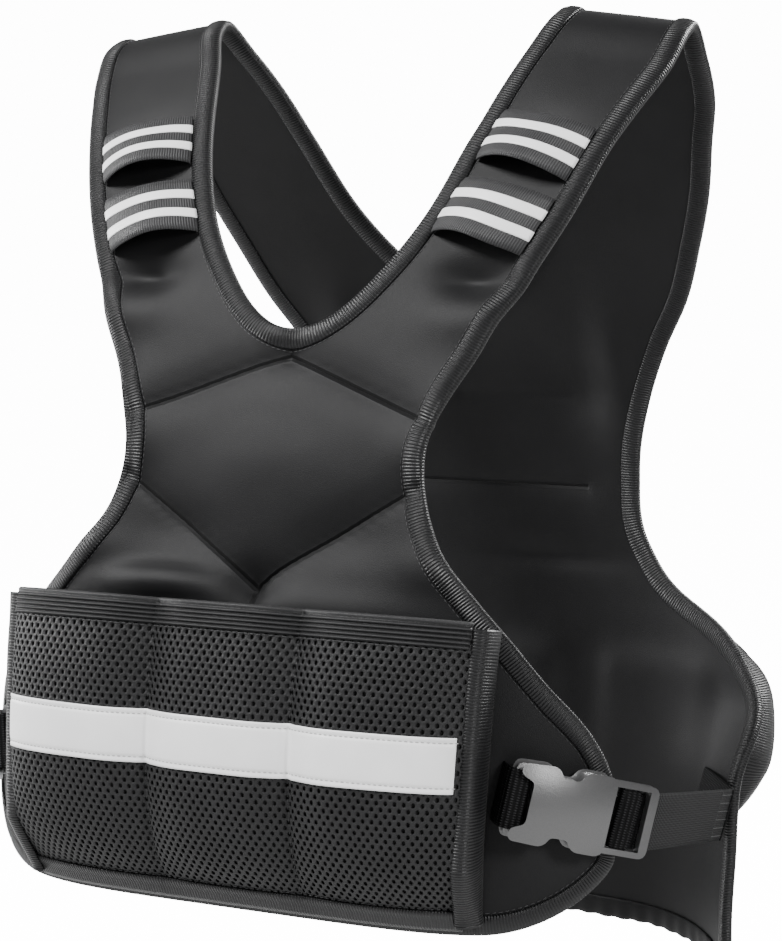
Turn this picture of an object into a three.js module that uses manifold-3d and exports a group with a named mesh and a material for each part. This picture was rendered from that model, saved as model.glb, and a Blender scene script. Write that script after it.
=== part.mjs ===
// Weighted vest: foam-cloth shell with bound edges, mesh weight pockets, shoulder loops and side buckles.
// Millimetres, +Z up. The wearer faces -Y and the wearer's left is +X.
// The origin lies midway between the shoulders, at the level where the straps rest on them.

import * as THREE from 'three';
import Module from 'manifold-3d';
import { mergeVertices } from 'three/addons/utils/BufferGeometryUtils.js';

const wasm = await Module();
wasm.setup();

// Shell
const shellWall = 4;
const crestHeight = 6;
const frontDrop = 438;
const frontReach = 165;
const frontHalfWidth = 171.5;
const frontBow = 41;
const frontCornerWidth = 52;
const frontCornerHeight = 33;
const backDrop = 506;
const backReach = 131;
const backHalfWidth = 180;
const backBow = 55;
const backCornerWidth = 14;
const backCornerHeight = 14;
const bowSpan = 165;
const bowPower = 5;
const neckHalfWidth = 100;
const frontNeckDrop = 161;
const backNeckDrop = 150;
const shoulderFall = 9;
const shoulderFallLength = 70;
const shoulderSeamBehindCrest = 7;

// Edge tape, hem casing and clearances
const tapeReach = 8.5;
const tapeWall = 1;
const clearance = 0.5;
const casingReach = 10;
const casingWall = 1.6;
const gatherPitch = 23;
const gatherDepth = 1;

// Weight pockets
const pocketHalfWidth = 118.5;
const pocketTaper = 4;
const pocketSeat = 0.95;
const backPocketSeat = 2.4;
const meshWall = 2.5;
const pocketDepth = 33;
const pocketSideLift = 10;
const pocketBottomLift = 5;
const pocketSeamDip = 6;
const pocketFloor = 4;
const frontPocketTopDrop = 294;
const frontPocketHeight = 133;
const backPocketTopDrop = 322;
const backPocketHeight = 112;
const backPocketHalfWidth = 162;
const backPocketSideLift = 28;
const compartments = 3;
const elasticHeight = 10.5;
const elasticWall = 1.4;
const stripeWidth = 25;
const stripeBelowTop = 48;
const stripeWall = 0.8;
const sideTapeWidth = 8;
const sideTapeWall = 1.8;
const bottomTapeWidth = 6.5;
const bottomTapeWall = 1.2;

// Shoulder loops
const loopWidth = 30;
const loopWall = 1.6;
const loopArch = 9;
const loopStripeWidth = 5.2;
const loopStripeWall = 0.5;
const stripeRest = 0.3;
const upperLoopDrop = 66;
const lowerLoopDrop = 101;
const loopSlant = 0.24;

// Side buckles and webbing
const webbingWidth = 28;
const webbingWall = 1.6;
const buckleWidth = 33;
const socketLength = 46;
const socketHeight = 10.5;
const barHeight = 5;
const frameLength = 24;
const frameHeight = 4.6;
const prongReach = 26;
const barWidth = 4;
const slotWidth = 5;
const buckleInset = 22;
const buckleDrop = 374;
const buckleRest = 4.6;
const buckleTurn = 45;
const buckleTilt = -14;
const backWebbingDrop = 415;

// Rows down the front: depth below the crest and reach forwards as shares of frontDrop and frontReach,
// half width to the bound edge as a share of frontHalfWidth, and side curve as a share of frontBow.
const frontRows = [
  { drop: 0.011, reach: 0.065, edge: 0.978, bow: 0.02 },
  { drop: 0.057, reach: 0.172, edge: 0.957, bow: 0.02 },
  { drop: 0.1, reach: 0.267, edge: 0.915, bow: 0.03 },
  { drop: 0.15, reach: 0.37, edge: 0.863, bow: 0.04 },
  { drop: 0.235, reach: 0.497, edge: 0.781, bow: 0.05 },
  { drop: 0.3, reach: 0.585, edge: 0.7, bow: 0.08 },
  { drop: 0.37, reach: 0.673, edge: 0.606, bow: 0.15 },
  { drop: 0.43, reach: 0.735, edge: 0.525, bow: 0.3 },
  { drop: 0.495, reach: 0.793, edge: 0.472, bow: 0.5 },
  { drop: 0.54, reach: 0.83, edge: 0.484, bow: 0.7 },
  { drop: 0.59, reach: 0.875, edge: 0.542, bow: 0.85 },
  { drop: 0.645, reach: 0.915, edge: 0.665, bow: 1 },
  { drop: 0.69, reach: 0.94, edge: 0.773, bow: 1 },
  { drop: 0.74, reach: 0.965, edge: 0.875, bow: 1 },
  { drop: 0.79, reach: 0.978, edge: 0.956, bow: 1 },
  { drop: 0.85, reach: 0.99, edge: 1, bow: 1 },
  { drop: 0.92, reach: 1, edge: 1, bow: 1 },
  { drop: 1, reach: 0.985, edge: 1, bow: 1 },
];

// The same columns down the back, as shares of backDrop, backReach, backHalfWidth and backBow.
const backRows = [
  { drop: 0.034, reach: 0.145, edge: 0.931, bow: 0.02 },
  { drop: 0.08, reach: 0.305, edge: 0.915, bow: 0.02 },
  { drop: 0.126, reach: 0.43, edge: 0.878, bow: 0.03 },
  { drop: 0.182, reach: 0.56, edge: 0.839, bow: 0.04 },
  { drop: 0.237, reach: 0.68, edge: 0.783, bow: 0.06 },
  { drop: 0.294, reach: 0.795, edge: 0.717, bow: 0.1 },
  { drop: 0.348, reach: 0.885, edge: 0.628, bow: 0.13 },
  { drop: 0.407, reach: 0.947, edge: 0.561, bow: 0.17 },
  { drop: 0.49, reach: 0.99, edge: 0.517, bow: 0.25 },
  { drop: 0.573, reach: 1, edge: 0.55, bow: 0.38 },
  { drop: 0.622, reach: 0.993, edge: 0.656, bow: 0.5 },
  { drop: 0.664, reach: 0.98, edge: 0.85, bow: 0.56 },
  { drop: 0.694, reach: 0.97, edge: 0.936, bow: 0.52 },
  { drop: 0.727, reach: 0.962, edge: 1, bow: 0.5 },
  { drop: 0.81, reach: 0.95, edge: 0.978, bow: 0.84 },
  { drop: 0.88, reach: 0.947, edge: 0.977, bow: 0.92 },
  { drop: 0.94, reach: 0.955, edge: 0.973, bow: 1 },
  { drop: 1, reach: 0.97, edge: 0.972, bow: 1 },
];

// Neck opening: square of the half width against depth, as shares of neckHalfWidth and the neck drop.
const neckRows = [
  { drop: 0, square: 1 },
  { drop: 0.15, square: 0.81 },
  { drop: 0.4, square: 0.585 },
  { drop: 0.64, square: 0.384 },
  { drop: 0.86, square: 0.144 },
  { drop: 1, square: 0 },
];

// Folds and dents of the cloth. Side is 1 in front and -1 behind; both means mirrored across the middle.
// X and wide are shares of the half width, drop and tall of the drop, and rise of shellWall.
const folds = [
  { side: 1, x: -0.362, drop: 0.619, wide: 0.257, tall: 0.018, rise: 1.5, both: false },
  { side: 1, x: 0.63, drop: 0.142, wide: 0.128, tall: 0.027, rise: -0.75, both: true },
  { side: 1, x: 0.548, drop: 0.292, wide: 0.14, tall: 0.018, rise: -1, both: true },
  { side: 1, x: 0.56, drop: 0.342, wide: 0.117, tall: 0.021, rise: 0.625, both: true },
  { side: -1, x: 0.344, drop: 0.405, wide: 0.144, tall: 0.04, rise: 0.75, both: true },
  { side: -1, x: 0.4, drop: 0.682, wide: 0.144, tall: 0.089, rise: 0.625, both: true },
  { side: -1, x: 0.233, drop: 0.593, wide: 0.222, tall: 0.016, rise: 1, both: false },
];

// Cubic curve through rows of a table, carried on straight past both ends.
function curveThrough(knots, values) {
  const last = knots.length - 1;
  const rate = (i) => (values[i + 1] - values[i]) / (knots[i + 1] - knots[i]);
  const slopes = knots.map((knot, i) => {
    if (i === 0) return rate(0);
    if (i === last) return rate(last - 1);
    const before = knots[i] - knots[i - 1];
    const after = knots[i + 1] - knots[i];
    return (rate(i - 1) * after + rate(i) * before) / (before + after);
  });
  return (at) => {
    if (at <= knots[0]) return values[0] + slopes[0] * (at - knots[0]);
    if (at >= knots[last]) return values[last] + slopes[last] * (at - knots[last]);
    let i = 0;
    while (at > knots[i + 1]) i += 1;
    const step = knots[i + 1] - knots[i];
    const t = (at - knots[i]) / step;
    const rise = values[i + 1] - values[i];
    const bendIn = slopes[i] * step - rise;
    const bendOut = rise - slopes[i + 1] * step;
    return values[i] + rise * t + t * (1 - t) * (bendIn * (1 - t) + bendOut * t);
  };
}

// Profile from the back hem over the crest to the front hem. Its run is 0 at the crest, positive in front.
const profile = makeProfile();

function makeProfile() {
  const behind = backRows.map((row) => ({
    y: row.reach * backReach,
    z: crestHeight - row.drop * backDrop,
    edge: row.edge * backHalfWidth,
    bow: row.bow * backBow,
  }));
  const ahead = frontRows.map((row) => ({
    y: -row.reach * frontReach,
    z: crestHeight - row.drop * frontDrop,
    edge: row.edge * frontHalfWidth,
    bow: row.bow * frontBow,
  }));
  const crest = {
    y: 0,
    z: crestHeight,
    edge: (behind[0].edge + ahead[0].edge) / 2,
    bow: (behind[0].bow + ahead[0].bow) / 2,
  };
  const rows = [...behind.reverse(), crest, ...ahead];
  const runs = [0];
  for (let i = 1; i < rows.length; i += 1) {
    runs.push(runs[i - 1] + Math.hypot(rows[i].y - rows[i - 1].y, rows[i].z - rows[i - 1].z));
  }
  const crestRun = runs[behind.length];
  const knots = runs.map((run) => run - crestRun);
  const column = (name) => curveThrough(knots, rows.map((row) => row[name]));
  return {
    backEnd: knots[0],
    frontEnd: knots[knots.length - 1],
    y: column('y'),
    z: column('z'),
    edge: column('edge'),
    bow: column('bow'),
  };
}

// Run along the profile at a depth below the crest; side is 1 in front and -1 behind.
function runAtDrop(side, drop) {
  let near = 0;
  let far = side > 0 ? profile.frontEnd : profile.backEnd;
  for (let i = 0; i < 40; i += 1) {
    const middle = (near + far) / 2;
    if (crestHeight - profile.z(middle) < drop) near = middle;
    else far = middle;
  }
  return (near + far) / 2;
}

const neckSquare = curveThrough(neckRows.map((row) => row.drop), neckRows.map((row) => row.square));
const frontNeckRun = runAtDrop(1, frontNeckDrop);
const backNeckRun = runAtDrop(-1, backNeckDrop);

function neckHalf(run) {
  const neckDrop = run > 0 ? frontNeckDrop : backNeckDrop;
  const share = (crestHeight - profile.z(run)) / neckDrop;
  if (share >= 1) return 0;
  return neckHalfWidth * Math.sqrt(Math.max(0, neckSquare(Math.max(0, share))));
}

// Half width to the bound edge, with the rounded lower corners of the wings.
function edgeHalf(run) {
  const front = run > 0;
  const toHem = front ? profile.frontEnd - run : run - profile.backEnd;
  const high = front ? frontCornerHeight : backCornerHeight;
  const wide = front ? frontCornerWidth : backCornerWidth;
  const into = Math.min(1, Math.max(0, 1 - toHem / high));
  return profile.edge(run) - wide * (1 - Math.sqrt(1 - into * into));
}

const foldRows = folds.flatMap((fold) => {
  const halfWidth = fold.side > 0 ? frontHalfWidth : backHalfWidth;
  const fullDrop = fold.side > 0 ? frontDrop : backDrop;
  const row = {
    x: fold.x * halfWidth,
    run: runAtDrop(fold.side, fold.drop * fullDrop),
    wide: fold.wide * halfWidth,
    tall: fold.tall * fullDrop,
    rise: fold.rise * shellWall,
  };
  return fold.both ? [row, { ...row, x: -row.x }] : [row];
});

function foldLift(x, run) {
  return foldRows.reduce((sum, fold) => {
    const across = (x - fold.x) / fold.wide;
    const along = (run - fold.run) / fold.tall;
    return sum + fold.rise * Math.exp(-across * across - along * along);
  }, 0);
}

// Middle surface of the shell, and its outward normal.
function shellMiddle(x, run) {
  const probe = 0.5;
  const alongY = profile.y(run + probe) - profile.y(run - probe);
  const alongZ = profile.z(run + probe) - profile.z(run - probe);
  const length = Math.hypot(alongY, alongZ);
  const inset = profile.bow(run) * Math.pow(Math.abs(x) / bowSpan, bowPower) - foldLift(x, run);
  const past = Math.max(0, Math.abs(x) / neckHalfWidth - 1) / (frontHalfWidth / neckHalfWidth - 1);
  const fall = shoulderFall * past * Math.exp(-Math.pow(run / shoulderFallLength, 2));
  return new THREE.Vector3(
    x,
    profile.y(run) - (alongZ / length) * inset,
    profile.z(run) + (alongY / length) * inset - fall,
  );
}

function shellAcross(x, run) {
  return shellMiddle(x + 0.5, run).sub(shellMiddle(x - 0.5, run));
}

function shellAlong(x, run) {
  return shellMiddle(x, run + 0.5).sub(shellMiddle(x, run - 0.5));
}

function shellNormal(x, run) {
  return shellAlong(x, run).cross(shellAcross(x, run)).normalize();
}

// Point at a height above the outer face of the shell.
function onShell(x, run, height) {
  return shellMiddle(x, run).addScaledVector(shellNormal(x, run), shellWall / 2 + height);
}

// Triangles of a body between an outer and an inner grid of points of equal size.
function gridTriangles(outer, inner, { loop = false, openBefore = () => false } = {}) {
  const points = [];
  const quad = (a, b, c, d) => points.push(a, b, c, a, c, d);
  const rows = outer.length;
  const last = outer[0].length - 1;
  const spans = loop ? rows : rows - 1;
  for (let i = 0; i < spans; i += 1) {
    const k = (i + 1) % rows;
    for (let j = 0; j < last; j += 1) {
      quad(outer[i][j], outer[k][j], outer[k][j + 1], outer[i][j + 1]);
      quad(inner[i][j], inner[i][j + 1], inner[k][j + 1], inner[k][j]);
    }
    if (!openBefore(i)) quad(outer[i][0], inner[i][0], inner[k][0], outer[k][0]);
    quad(outer[i][last], outer[k][last], inner[k][last], inner[i][last]);
  }
  if (!loop) {
    const end = rows - 1;
    for (let j = 0; j < last; j += 1) {
      quad(outer[0][j], outer[0][j + 1], inner[0][j + 1], inner[0][j]);
      quad(outer[end][j], inner[end][j], inner[end][j + 1], outer[end][j + 1]);
    }
  }
  return points;
}

// Closed geometry from a list of triangle corners, turned to face outwards.
function closedGeometry(points) {
  const kept = [];
  let volume = 0;
  for (let i = 0; i < points.length; i += 3) {
    const [a, b, c] = points.slice(i, i + 3);
    volume += a.dot(b.clone().cross(c));
    kept.push([a, b, c]);
  }
  const turned = volume < 0 ? kept.map(([a, b, c]) => [a, c, b]) : kept;
  const geometry = new THREE.BufferGeometry().setFromPoints(turned.flat());
  return withoutSlivers(mergeVertices(geometry, 1e-3));
}

// Where grid points fall together, the faces between them are dropped.
function withoutSlivers(geometry) {
  const index = Array.from(geometry.index.array);
  const kept = [];
  for (let i = 0; i < index.length; i += 3) {
    const [a, b, c] = index.slice(i, i + 3);
    if (a !== b && b !== c && c !== a) kept.push(a, b, c);
  }
  geometry.setIndex(kept);
  return geometry;
}

function solidOf(geometry) {
  const bare = new THREE.BufferGeometry().setAttribute('position', geometry.getAttribute('position'));
  if (geometry.index) bare.setIndex(geometry.index);
  const merged = mergeVertices(bare, 1e-4);
  return new wasm.Manifold(
    new wasm.Mesh({
      numProp: 3,
      vertProperties: new Float32Array(merged.attributes.position.array),
      triVerts: new Uint32Array(merged.index.array),
    }),
  );
}

function geometryOf(solid) {
  const mesh = solid.getMesh();
  const geometry = new THREE.BufferGeometry();
  geometry.setAttribute('position', new THREE.BufferAttribute(new Float32Array(mesh.vertProperties), 3));
  geometry.setIndex(Array.from(mesh.triVerts));
  return geometry;
}

// Mirror image across the middle of the body, for the wearer's right side.
function sided(geometry, side) {
  if (side > 0) return geometry;
  const plain = geometry.index ? geometry.toNonIndexed() : geometry.clone();
  const position = plain.getAttribute('position');
  const points = [];
  for (let i = 0; i < position.count; i += 1) {
    points.push(new THREE.Vector3().fromBufferAttribute(position, i).multiply(new THREE.Vector3(-1, 1, 1)));
  }
  return closedGeometry(points);
}

const foamCloth = new THREE.MeshStandardMaterial({ color: 0x2e2e31, roughness: 0.85, metalness: 0 });
const tape = new THREE.MeshStandardMaterial({ color: 0x3c3c3f, roughness: 0.55, metalness: 0 });
const airMesh = new THREE.MeshStandardMaterial({ color: 0x3a3a3c, roughness: 0.9, metalness: 0 });
const elastic = new THREE.MeshStandardMaterial({ color: 0x56565a, roughness: 0.7, metalness: 0 });
const reflective = new THREE.MeshStandardMaterial({ color: 0xe8e9ea, roughness: 0.35, metalness: 0 });
const plastic = new THREE.MeshStandardMaterial({ color: 0x9a9b9d, roughness: 0.5, metalness: 0 });
const webbing = new THREE.MeshStandardMaterial({ color: 0x333336, roughness: 0.8, metalness: 0 });

const group = new THREE.Group();

function addPiece(name, geometry, material) {
  const mesh = new THREE.Mesh(geometry, material);
  mesh.name = name;
  group.add(mesh);
}

// Runs of the panel rows: close together round the bottom of the neck, then even, then round the corner.
const neckSteps = 8;
const bodySteps = 6;
const cornerSteps = 4;
const shoulderSeam = -shoulderSeamBehindCrest;

function panelRuns(side) {
  const neckDrop = side > 0 ? frontNeckDrop : backNeckDrop;
  const neckRun = side > 0 ? frontNeckRun : backNeckRun;
  const hemRun = side > 0 ? profile.frontEnd : profile.backEnd;
  const cornerHeight = side > 0 ? frontCornerHeight : backCornerHeight;
  const runs = [];
  for (let i = 0; i < neckSteps; i += 1) {
    const across = 1 - i / neckSteps;
    runs.push(i === 0 ? 0 : runAtDrop(side, neckDrop * (1 - Math.pow(across, 1.7))));
  }
  const cornerRun = hemRun - side * cornerHeight;
  for (let i = 0; i < bodySteps; i += 1) runs.push(neckRun + ((cornerRun - neckRun) * i) / bodySteps);
  for (let i = 0; i <= cornerSteps; i += 1) {
    runs.push(cornerRun + side * cornerHeight * Math.sin((i / cornerSteps) * (Math.PI / 2)));
  }
  const seam = shoulderSeam + (side * clearance) / 2;
  if (side > 0) return [seam, ...runs];
  return [seam, ...runs.filter((run) => run < seam - 2)];
}

const panelColumns = 6;

function panelX(run, column) {
  const from = neckHalf(run);
  const to = edgeHalf(run);
  if (column === 0) return from;
  if (column === panelColumns) return to;
  const share = (column - 1) / (panelColumns - 2);
  const start = from + tapeReach * 1.6;
  const end = to - tapeReach * 1.6;
  return start + (end - start) * (1 - Math.pow(1 - share, 1.4));
}

// Places along the edge of the neck or of a side.
function neckPlace(half, run) {
  return { x: half * neckHalf(run), run };
}

function sidePlace(half, run) {
  return { x: half * edgeHalf(run), run };
}

function insideCloth(x, run) {
  const out = Math.abs(x);
  return out < edgeHalf(run) && out > neckHalf(run) && run > profile.backEnd && run < profile.frontEnd;
}

// The place that lies a reach away from another one, in a direction along the cloth.
function placeTowards(place, into, reach) {
  const across = shellAcross(place.x, place.run);
  const down = shellAlong(place.x, place.run);
  const crossing = across.dot(down);
  const scale = across.dot(across) * down.dot(down) - crossing * crossing;
  const wantAcross = into.dot(across) * reach;
  const wantDown = into.dot(down) * reach;
  return {
    x: place.x + (wantAcross * down.dot(down) - wantDown * crossing) / scale,
    run: place.run + (wantDown * across.dot(across) - wantAcross * crossing) / scale,
  };
}

// Way into the cloth, at right angles to an edge that passes through two neighbouring places.
function intoCloth(place, before, after) {
  const normal = shellNormal(place.x, place.run);
  const along = shellMiddle(after.x, after.run).sub(shellMiddle(before.x, before.run)).normalize();
  const into = normal.clone().cross(along).normalize();
  const probe = placeTowards(place, into, 2 * clearance);
  return insideCloth(probe.x, probe.run) ? into : into.negate();
}

// Triangles of a panel. A grown panel is larger all round, to clear the inside of the tapes.
function panelTriangles(side, grow) {
  const runs = panelRuns(side);
  const neckRun = side > 0 ? frontNeckRun : backNeckRun;
  const joined = (i) => Math.abs(runs[i]) >= Math.abs(neckRun) - 1e-6;
  const columns = Array.from({ length: panelColumns + 1 }, (_, j) => j);
  const edgeShift = (makePlace, half, i) => {
    const place = makePlace(half, runs[i]);
    const before = makePlace(half, runs[Math.max(0, i - 1)]);
    const after = makePlace(half, runs[Math.min(runs.length - 1, i + 1)]);
    return intoCloth(place, before, after).multiplyScalar(-grow);
  };
  const point = (half, i, j, height) => {
    const ends = i === 0 || i === runs.length - 1;
    const outwards = i === 0 ? -side : side;
    const run = runs[i] + (ends ? outwards * grow : 0);
    const place = onShell(half * panelX(runs[i], j), run, height);
    if (grow > 0 && j === panelColumns) place.add(edgeShift(sidePlace, half, i));
    if (grow > 0 && j === 0 && !joined(i)) place.add(edgeShift(neckPlace, half, i));
    if (grow > 0 && j === 0 && joined(i) && !joined(i - 1)) {
      place.addScaledVector(shellAlong(0, runs[i]), -side * grow);
    }
    return place;
  };
  const face = (half, height) => runs.map((_, i) => columns.map((j) => point(half, i, j, height)));
  const low = -shellWall - grow;
  const leftHalf = gridTriangles(face(1, grow), face(1, low), { openBefore: joined });
  const rightHalf = gridTriangles(face(-1, grow), face(-1, low), { openBefore: joined });
  const turned = [];
  for (let i = 0; i < rightHalf.length; i += 3) turned.push(rightHalf[i], rightHalf[i + 2], rightHalf[i + 1]);
  return [...leftHalf, ...turned];
}

function panel(side) {
  return closedGeometry(panelTriangles(side, 0));
}

const clearedPanels = [1, -1].map((side) => solidOf(closedGeometry(panelTriangles(side, clearance))));

// Solid over an edge of the shell, as deep as the folded tape with what it holds.
function tapeBlock(path, { reach = tapeReach, wall = tapeWall, loop = false, wave = () => 0 } = {}) {
  const outer = [];
  const inner = [];
  path.forEach((place, i) => {
    const before = path[loop ? (i + path.length - 1) % path.length : Math.max(0, i - 1)];
    const after = path[loop ? (i + 1) % path.length : Math.min(path.length - 1, i + 1)];
    const { x, run } = place;
    const into = intoCloth(place, before, after);
    const edge = shellMiddle(x, run);
    const normal = shellNormal(x, run);
    const { x: tipX, run: tipRun } = placeTowards(place, into, reach);
    const outside = shellWall / 2 + clearance + wall + wave(i);
    const past = clearance + wall + wave(i);
    const tip = (height) => shellMiddle(tipX, tipRun).addScaledVector(shellNormal(tipX, tipRun), height);
    const turn = (height) => edge.clone().addScaledVector(normal, height).addScaledVector(into, -past);
    const row = [tip(outside), turn(outside * 0.85), turn(-outside * 0.85), tip(-outside)];
    outer.push(row);
    inner.push([row[0], row[0].clone().lerp(row[3], 1 / 3), row[0].clone().lerp(row[3], 2 / 3), row[3]]);
  });
  return solidOf(closedGeometry(gridTriangles(outer, inner, { loop })));
}

// Tape folded over an edge: the block less the panels with their clearance.
function foldedTape(path, options) {
  const hollow = clearedPanels.reduce((solid, cleared) => solid.subtract(cleared), tapeBlock(path, options));
  return geometryOf(largestBody(hollow));
}

function largestBody(solid) {
  return solid.decompose().sort((a, b) => b.volume() - a.volume())[0];
}

function neckTape() {
  const front = panelRuns(1).filter((run) => run >= 0 && run <= frontNeckRun + 1e-6);
  const back = panelRuns(-1).filter((run) => Math.abs(run) <= Math.abs(backNeckRun) + 1e-6);
  const path = [
    ...front.map((run) => neckPlace(1, run)),
    ...front.slice(0, -1).reverse().map((run) => neckPlace(-1, run)),
    ...back.slice(0, -1).map((run) => neckPlace(-1, run)),
    ...back.slice().reverse().map((run) => neckPlace(1, run)),
  ];
  return foldedTape(path, { loop: true });
}

function sidePath(half) {
  const front = panelRuns(1).filter((run) => run >= 0);
  const back = panelRuns(-1);
  return [...front.slice().reverse(), ...back].map((run) => sidePlace(half, run));
}

function sideTape(half) {
  return foldedTape(sidePath(half));
}

// The front hem's tape has its places in line with the columns of the panel.
function frontHemTape() {
  const run = profile.frontEnd;
  const end = edgeHalf(run) - 3 * clearance;
  const across = [end];
  for (let j = panelColumns - 1; j > 0; j -= 1) across.push(panelX(run, j));
  const path = [...across, 0, ...across.map((x) => -x).reverse()].map((x) => ({ x: -x, run }));
  return foldedTape(path);
}

// Casing along the back hem, gathered into waves.
function backHemCasing() {
  const end = edgeHalf(profile.backEnd) - 3 * clearance;
  const waves = Math.max(4, Math.round((2 * end) / gatherPitch));
  const path = [];
  for (let i = 0; i <= waves * 2; i += 1) {
    path.push({ x: -end + (end * i) / waves, run: profile.backEnd });
  }
  return foldedTape(path, { reach: casingReach, wall: casingWall, wave: (i) => (i % 2) * gatherDepth });
}

addPiece('front_panel', panel(1), foamCloth);
addPiece('back_panel', panel(-1), foamCloth);
addPiece('neck_binding', neckTape(), tape);
addPiece('side_binding_left', sideTape(1), tape);
addPiece('side_binding_right', sideTape(-1), tape);
addPiece('front_hem_binding', frontHemTape(), tape);
addPiece('back_hem', backHemCasing(), foamCloth);

// A weight pocket: run of its top and bottom, and which side it is on.
function pocketPlan(side, topDrop, height) {
  const top = runAtDrop(side, topDrop);
  return { side, top, bottom: top + side * height, height };
}

const frontPocket = {
  ...pocketPlan(1, frontPocketTopDrop, frontPocketHeight),
  halfWidth: pocketHalfWidth,
  seat: pocketSeat,
  sideGap: 2 * clearance,
  sideSeat: pocketSeat,
  sideLift: () => pocketSideLift,
};

// The back pocket reaches out along the wings, where its sides stand well off the cloth.
const backPocket = {
  ...pocketPlan(-1, backPocketTopDrop, backPocketHeight),
  halfWidth: backPocketHalfWidth,
  seat: backPocketSeat,
  sideGap: 5 * clearance,
  sideSeat: backPocketSeat + 3 * clearance,
  sideLift: (up) => {
    const bulge = Math.sin(Math.PI * Math.pow(Math.min(1, Math.max(0, up)), 0.75));
    return pocketBottomLift + (backPocketSideLift - pocketBottomLift) * bulge;
  },
};

// Height of the mesh above the shell. Across runs from -1 to 1 and up from 0 at the bottom to 1.
function pocketLift(plan, across, up) {
  const rounded = Math.pow(Math.max(0, 1 - Math.pow(Math.abs(across), 6)), 0.5);
  const filled = 1 - Math.pow(Math.max(0, 1 - up / 0.5), 2.2);
  const drawnIn = 1 - 0.14 * Math.pow(Math.max(0, (up - 0.5) / 0.5), 2);
  const seamAt = Math.min(...seamShares.map((seam) => Math.abs(across - seam)));
  const dip = pocketSeamDip * Math.exp(-Math.pow(seamAt / 0.11, 2)) * filled;
  const crown = (pocketDepth - pocketBottomLift) * filled * drawnIn;
  const side = pocketBottomLift + (plan.sideLift(up) - pocketBottomLift) * Math.min(1, up / 0.2);
  return side + (crown + pocketBottomLift - side) * rounded - dip * rounded;
}

const seamShares = Array.from({ length: compartments - 1 }, (_, i) => (2 * (i + 1)) / compartments - 1);

// Half width of a pocket: a little narrower at its bottom, and clear of the tapes along the side.
function pocketHalf(plan, up) {
  const run = plan.bottom + (plan.top - plan.bottom) * Math.max(0, up);
  const inEdge = edgeHalf(run) - tapeReach - sideTapeWidth - 7 * clearance;
  const half = plan.halfWidth - pocketTaper * (1 - Math.max(0, up));
  return plan.side > 0 ? half : Math.min(half, inEdge);
}

function pocketPoint(plan, across, up, height) {
  return onShell(across * pocketHalf(plan, up), plan.bottom + (plan.top - plan.bottom) * up, height);
}

// Columns across a pocket: dense at its sides and seams. The same columns serve all that lies on it.
function pocketColumns() {
  const shares = [-1, -0.97, -0.86];
  const bay = 2 / compartments;
  for (let i = 0; i < compartments; i += 1) {
    const start = -1 + i * bay;
    if (i > 0) shares.push(start - bay * 0.14, start, start + bay * 0.14);
    shares.push(start + bay * 0.36, start + bay * 0.64);
  }
  shares.push(0.86, 0.97, 1);
  return [...new Set(shares)].sort((a, b) => a - b);
}

function pocketUps(plan) {
  const stripeTop = 1 - stripeBelowTop / plan.height;
  const stripeBottom = stripeTop - stripeWidth / plan.height;
  return {
    stripeTop,
    stripeBottom,
    elastic: 1 - elasticHeight / plan.height,
    tape: bottomTapeWidth / plan.height,
  };
}

function pocketRows(plan) {
  const ups = pocketUps(plan);
  if (plan.side < 0) return [0, ups.tape, 0.2, 0.36, 0.52, 0.7, ups.elastic, 1];
  return [0, ups.tape, 0.18, 0.33, ups.stripeBottom, ups.stripeTop, ups.elastic, 1];
}

function pocketMesh(plan) {
  const rows = pocketRows(plan);
  const columns = pocketColumns();
  const face = (height) => rows.map((up) => columns.map((across) => pocketPoint(plan, across, up, height(across, up))));
  const block = solidOf(closedGeometry(gridTriangles(face((across, up) => pocketLift(plan, across, up)), face(() => plan.seat))));
  const bay = 2 / compartments;
  const wallShare = meshWall / plan.halfWidth;
  const floorShare = pocketFloor / plan.height;
  let body = block;
  for (let i = 0; i < compartments; i += 1) {
    const from = -1 + i * bay + (i === 0 ? wallShare : wallShare / 2);
    const to = -1 + (i + 1) * bay - (i === compartments - 1 ? wallShare : wallShare / 2);
    const steps = 6;
    const across = Array.from({ length: steps }, (_, j) => from + ((to - from) * j) / (steps - 1));
    const hollowRows = [floorShare, 0.15, 0.35, 0.65, 1.03];
    const roof = (share, up) => Math.max(plan.seat + 1, pocketLift(plan, share, Math.min(1, up)) - meshWall);
    const outer = hollowRows.map((up) => across.map((share) => pocketPoint(plan, share, up, roof(share, up))));
    const inner = hollowRows.map((up) => across.map((share) => pocketPoint(plan, share, up, plan.seat - 1)));
    body = body.subtract(solidOf(closedGeometry(gridTriangles(outer, inner))));
  }
  return geometryOf(body);
}

// A band that lies on the mesh between two heights of the pocket.
function bandOnPocket(plan, lowUp, highUp, wall, rest) {
  const columns = pocketColumns().filter((across) => Math.abs(across) <= 0.97);
  const face = (height) =>
    [lowUp, highUp].map((up) =>
      columns.map((across) => pocketPoint(plan, across, up, pocketLift(plan, across, Math.min(up, 1)) + height)),
    );
  return closedGeometry(gridTriangles(face(rest + wall), face(rest)));
}

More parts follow.
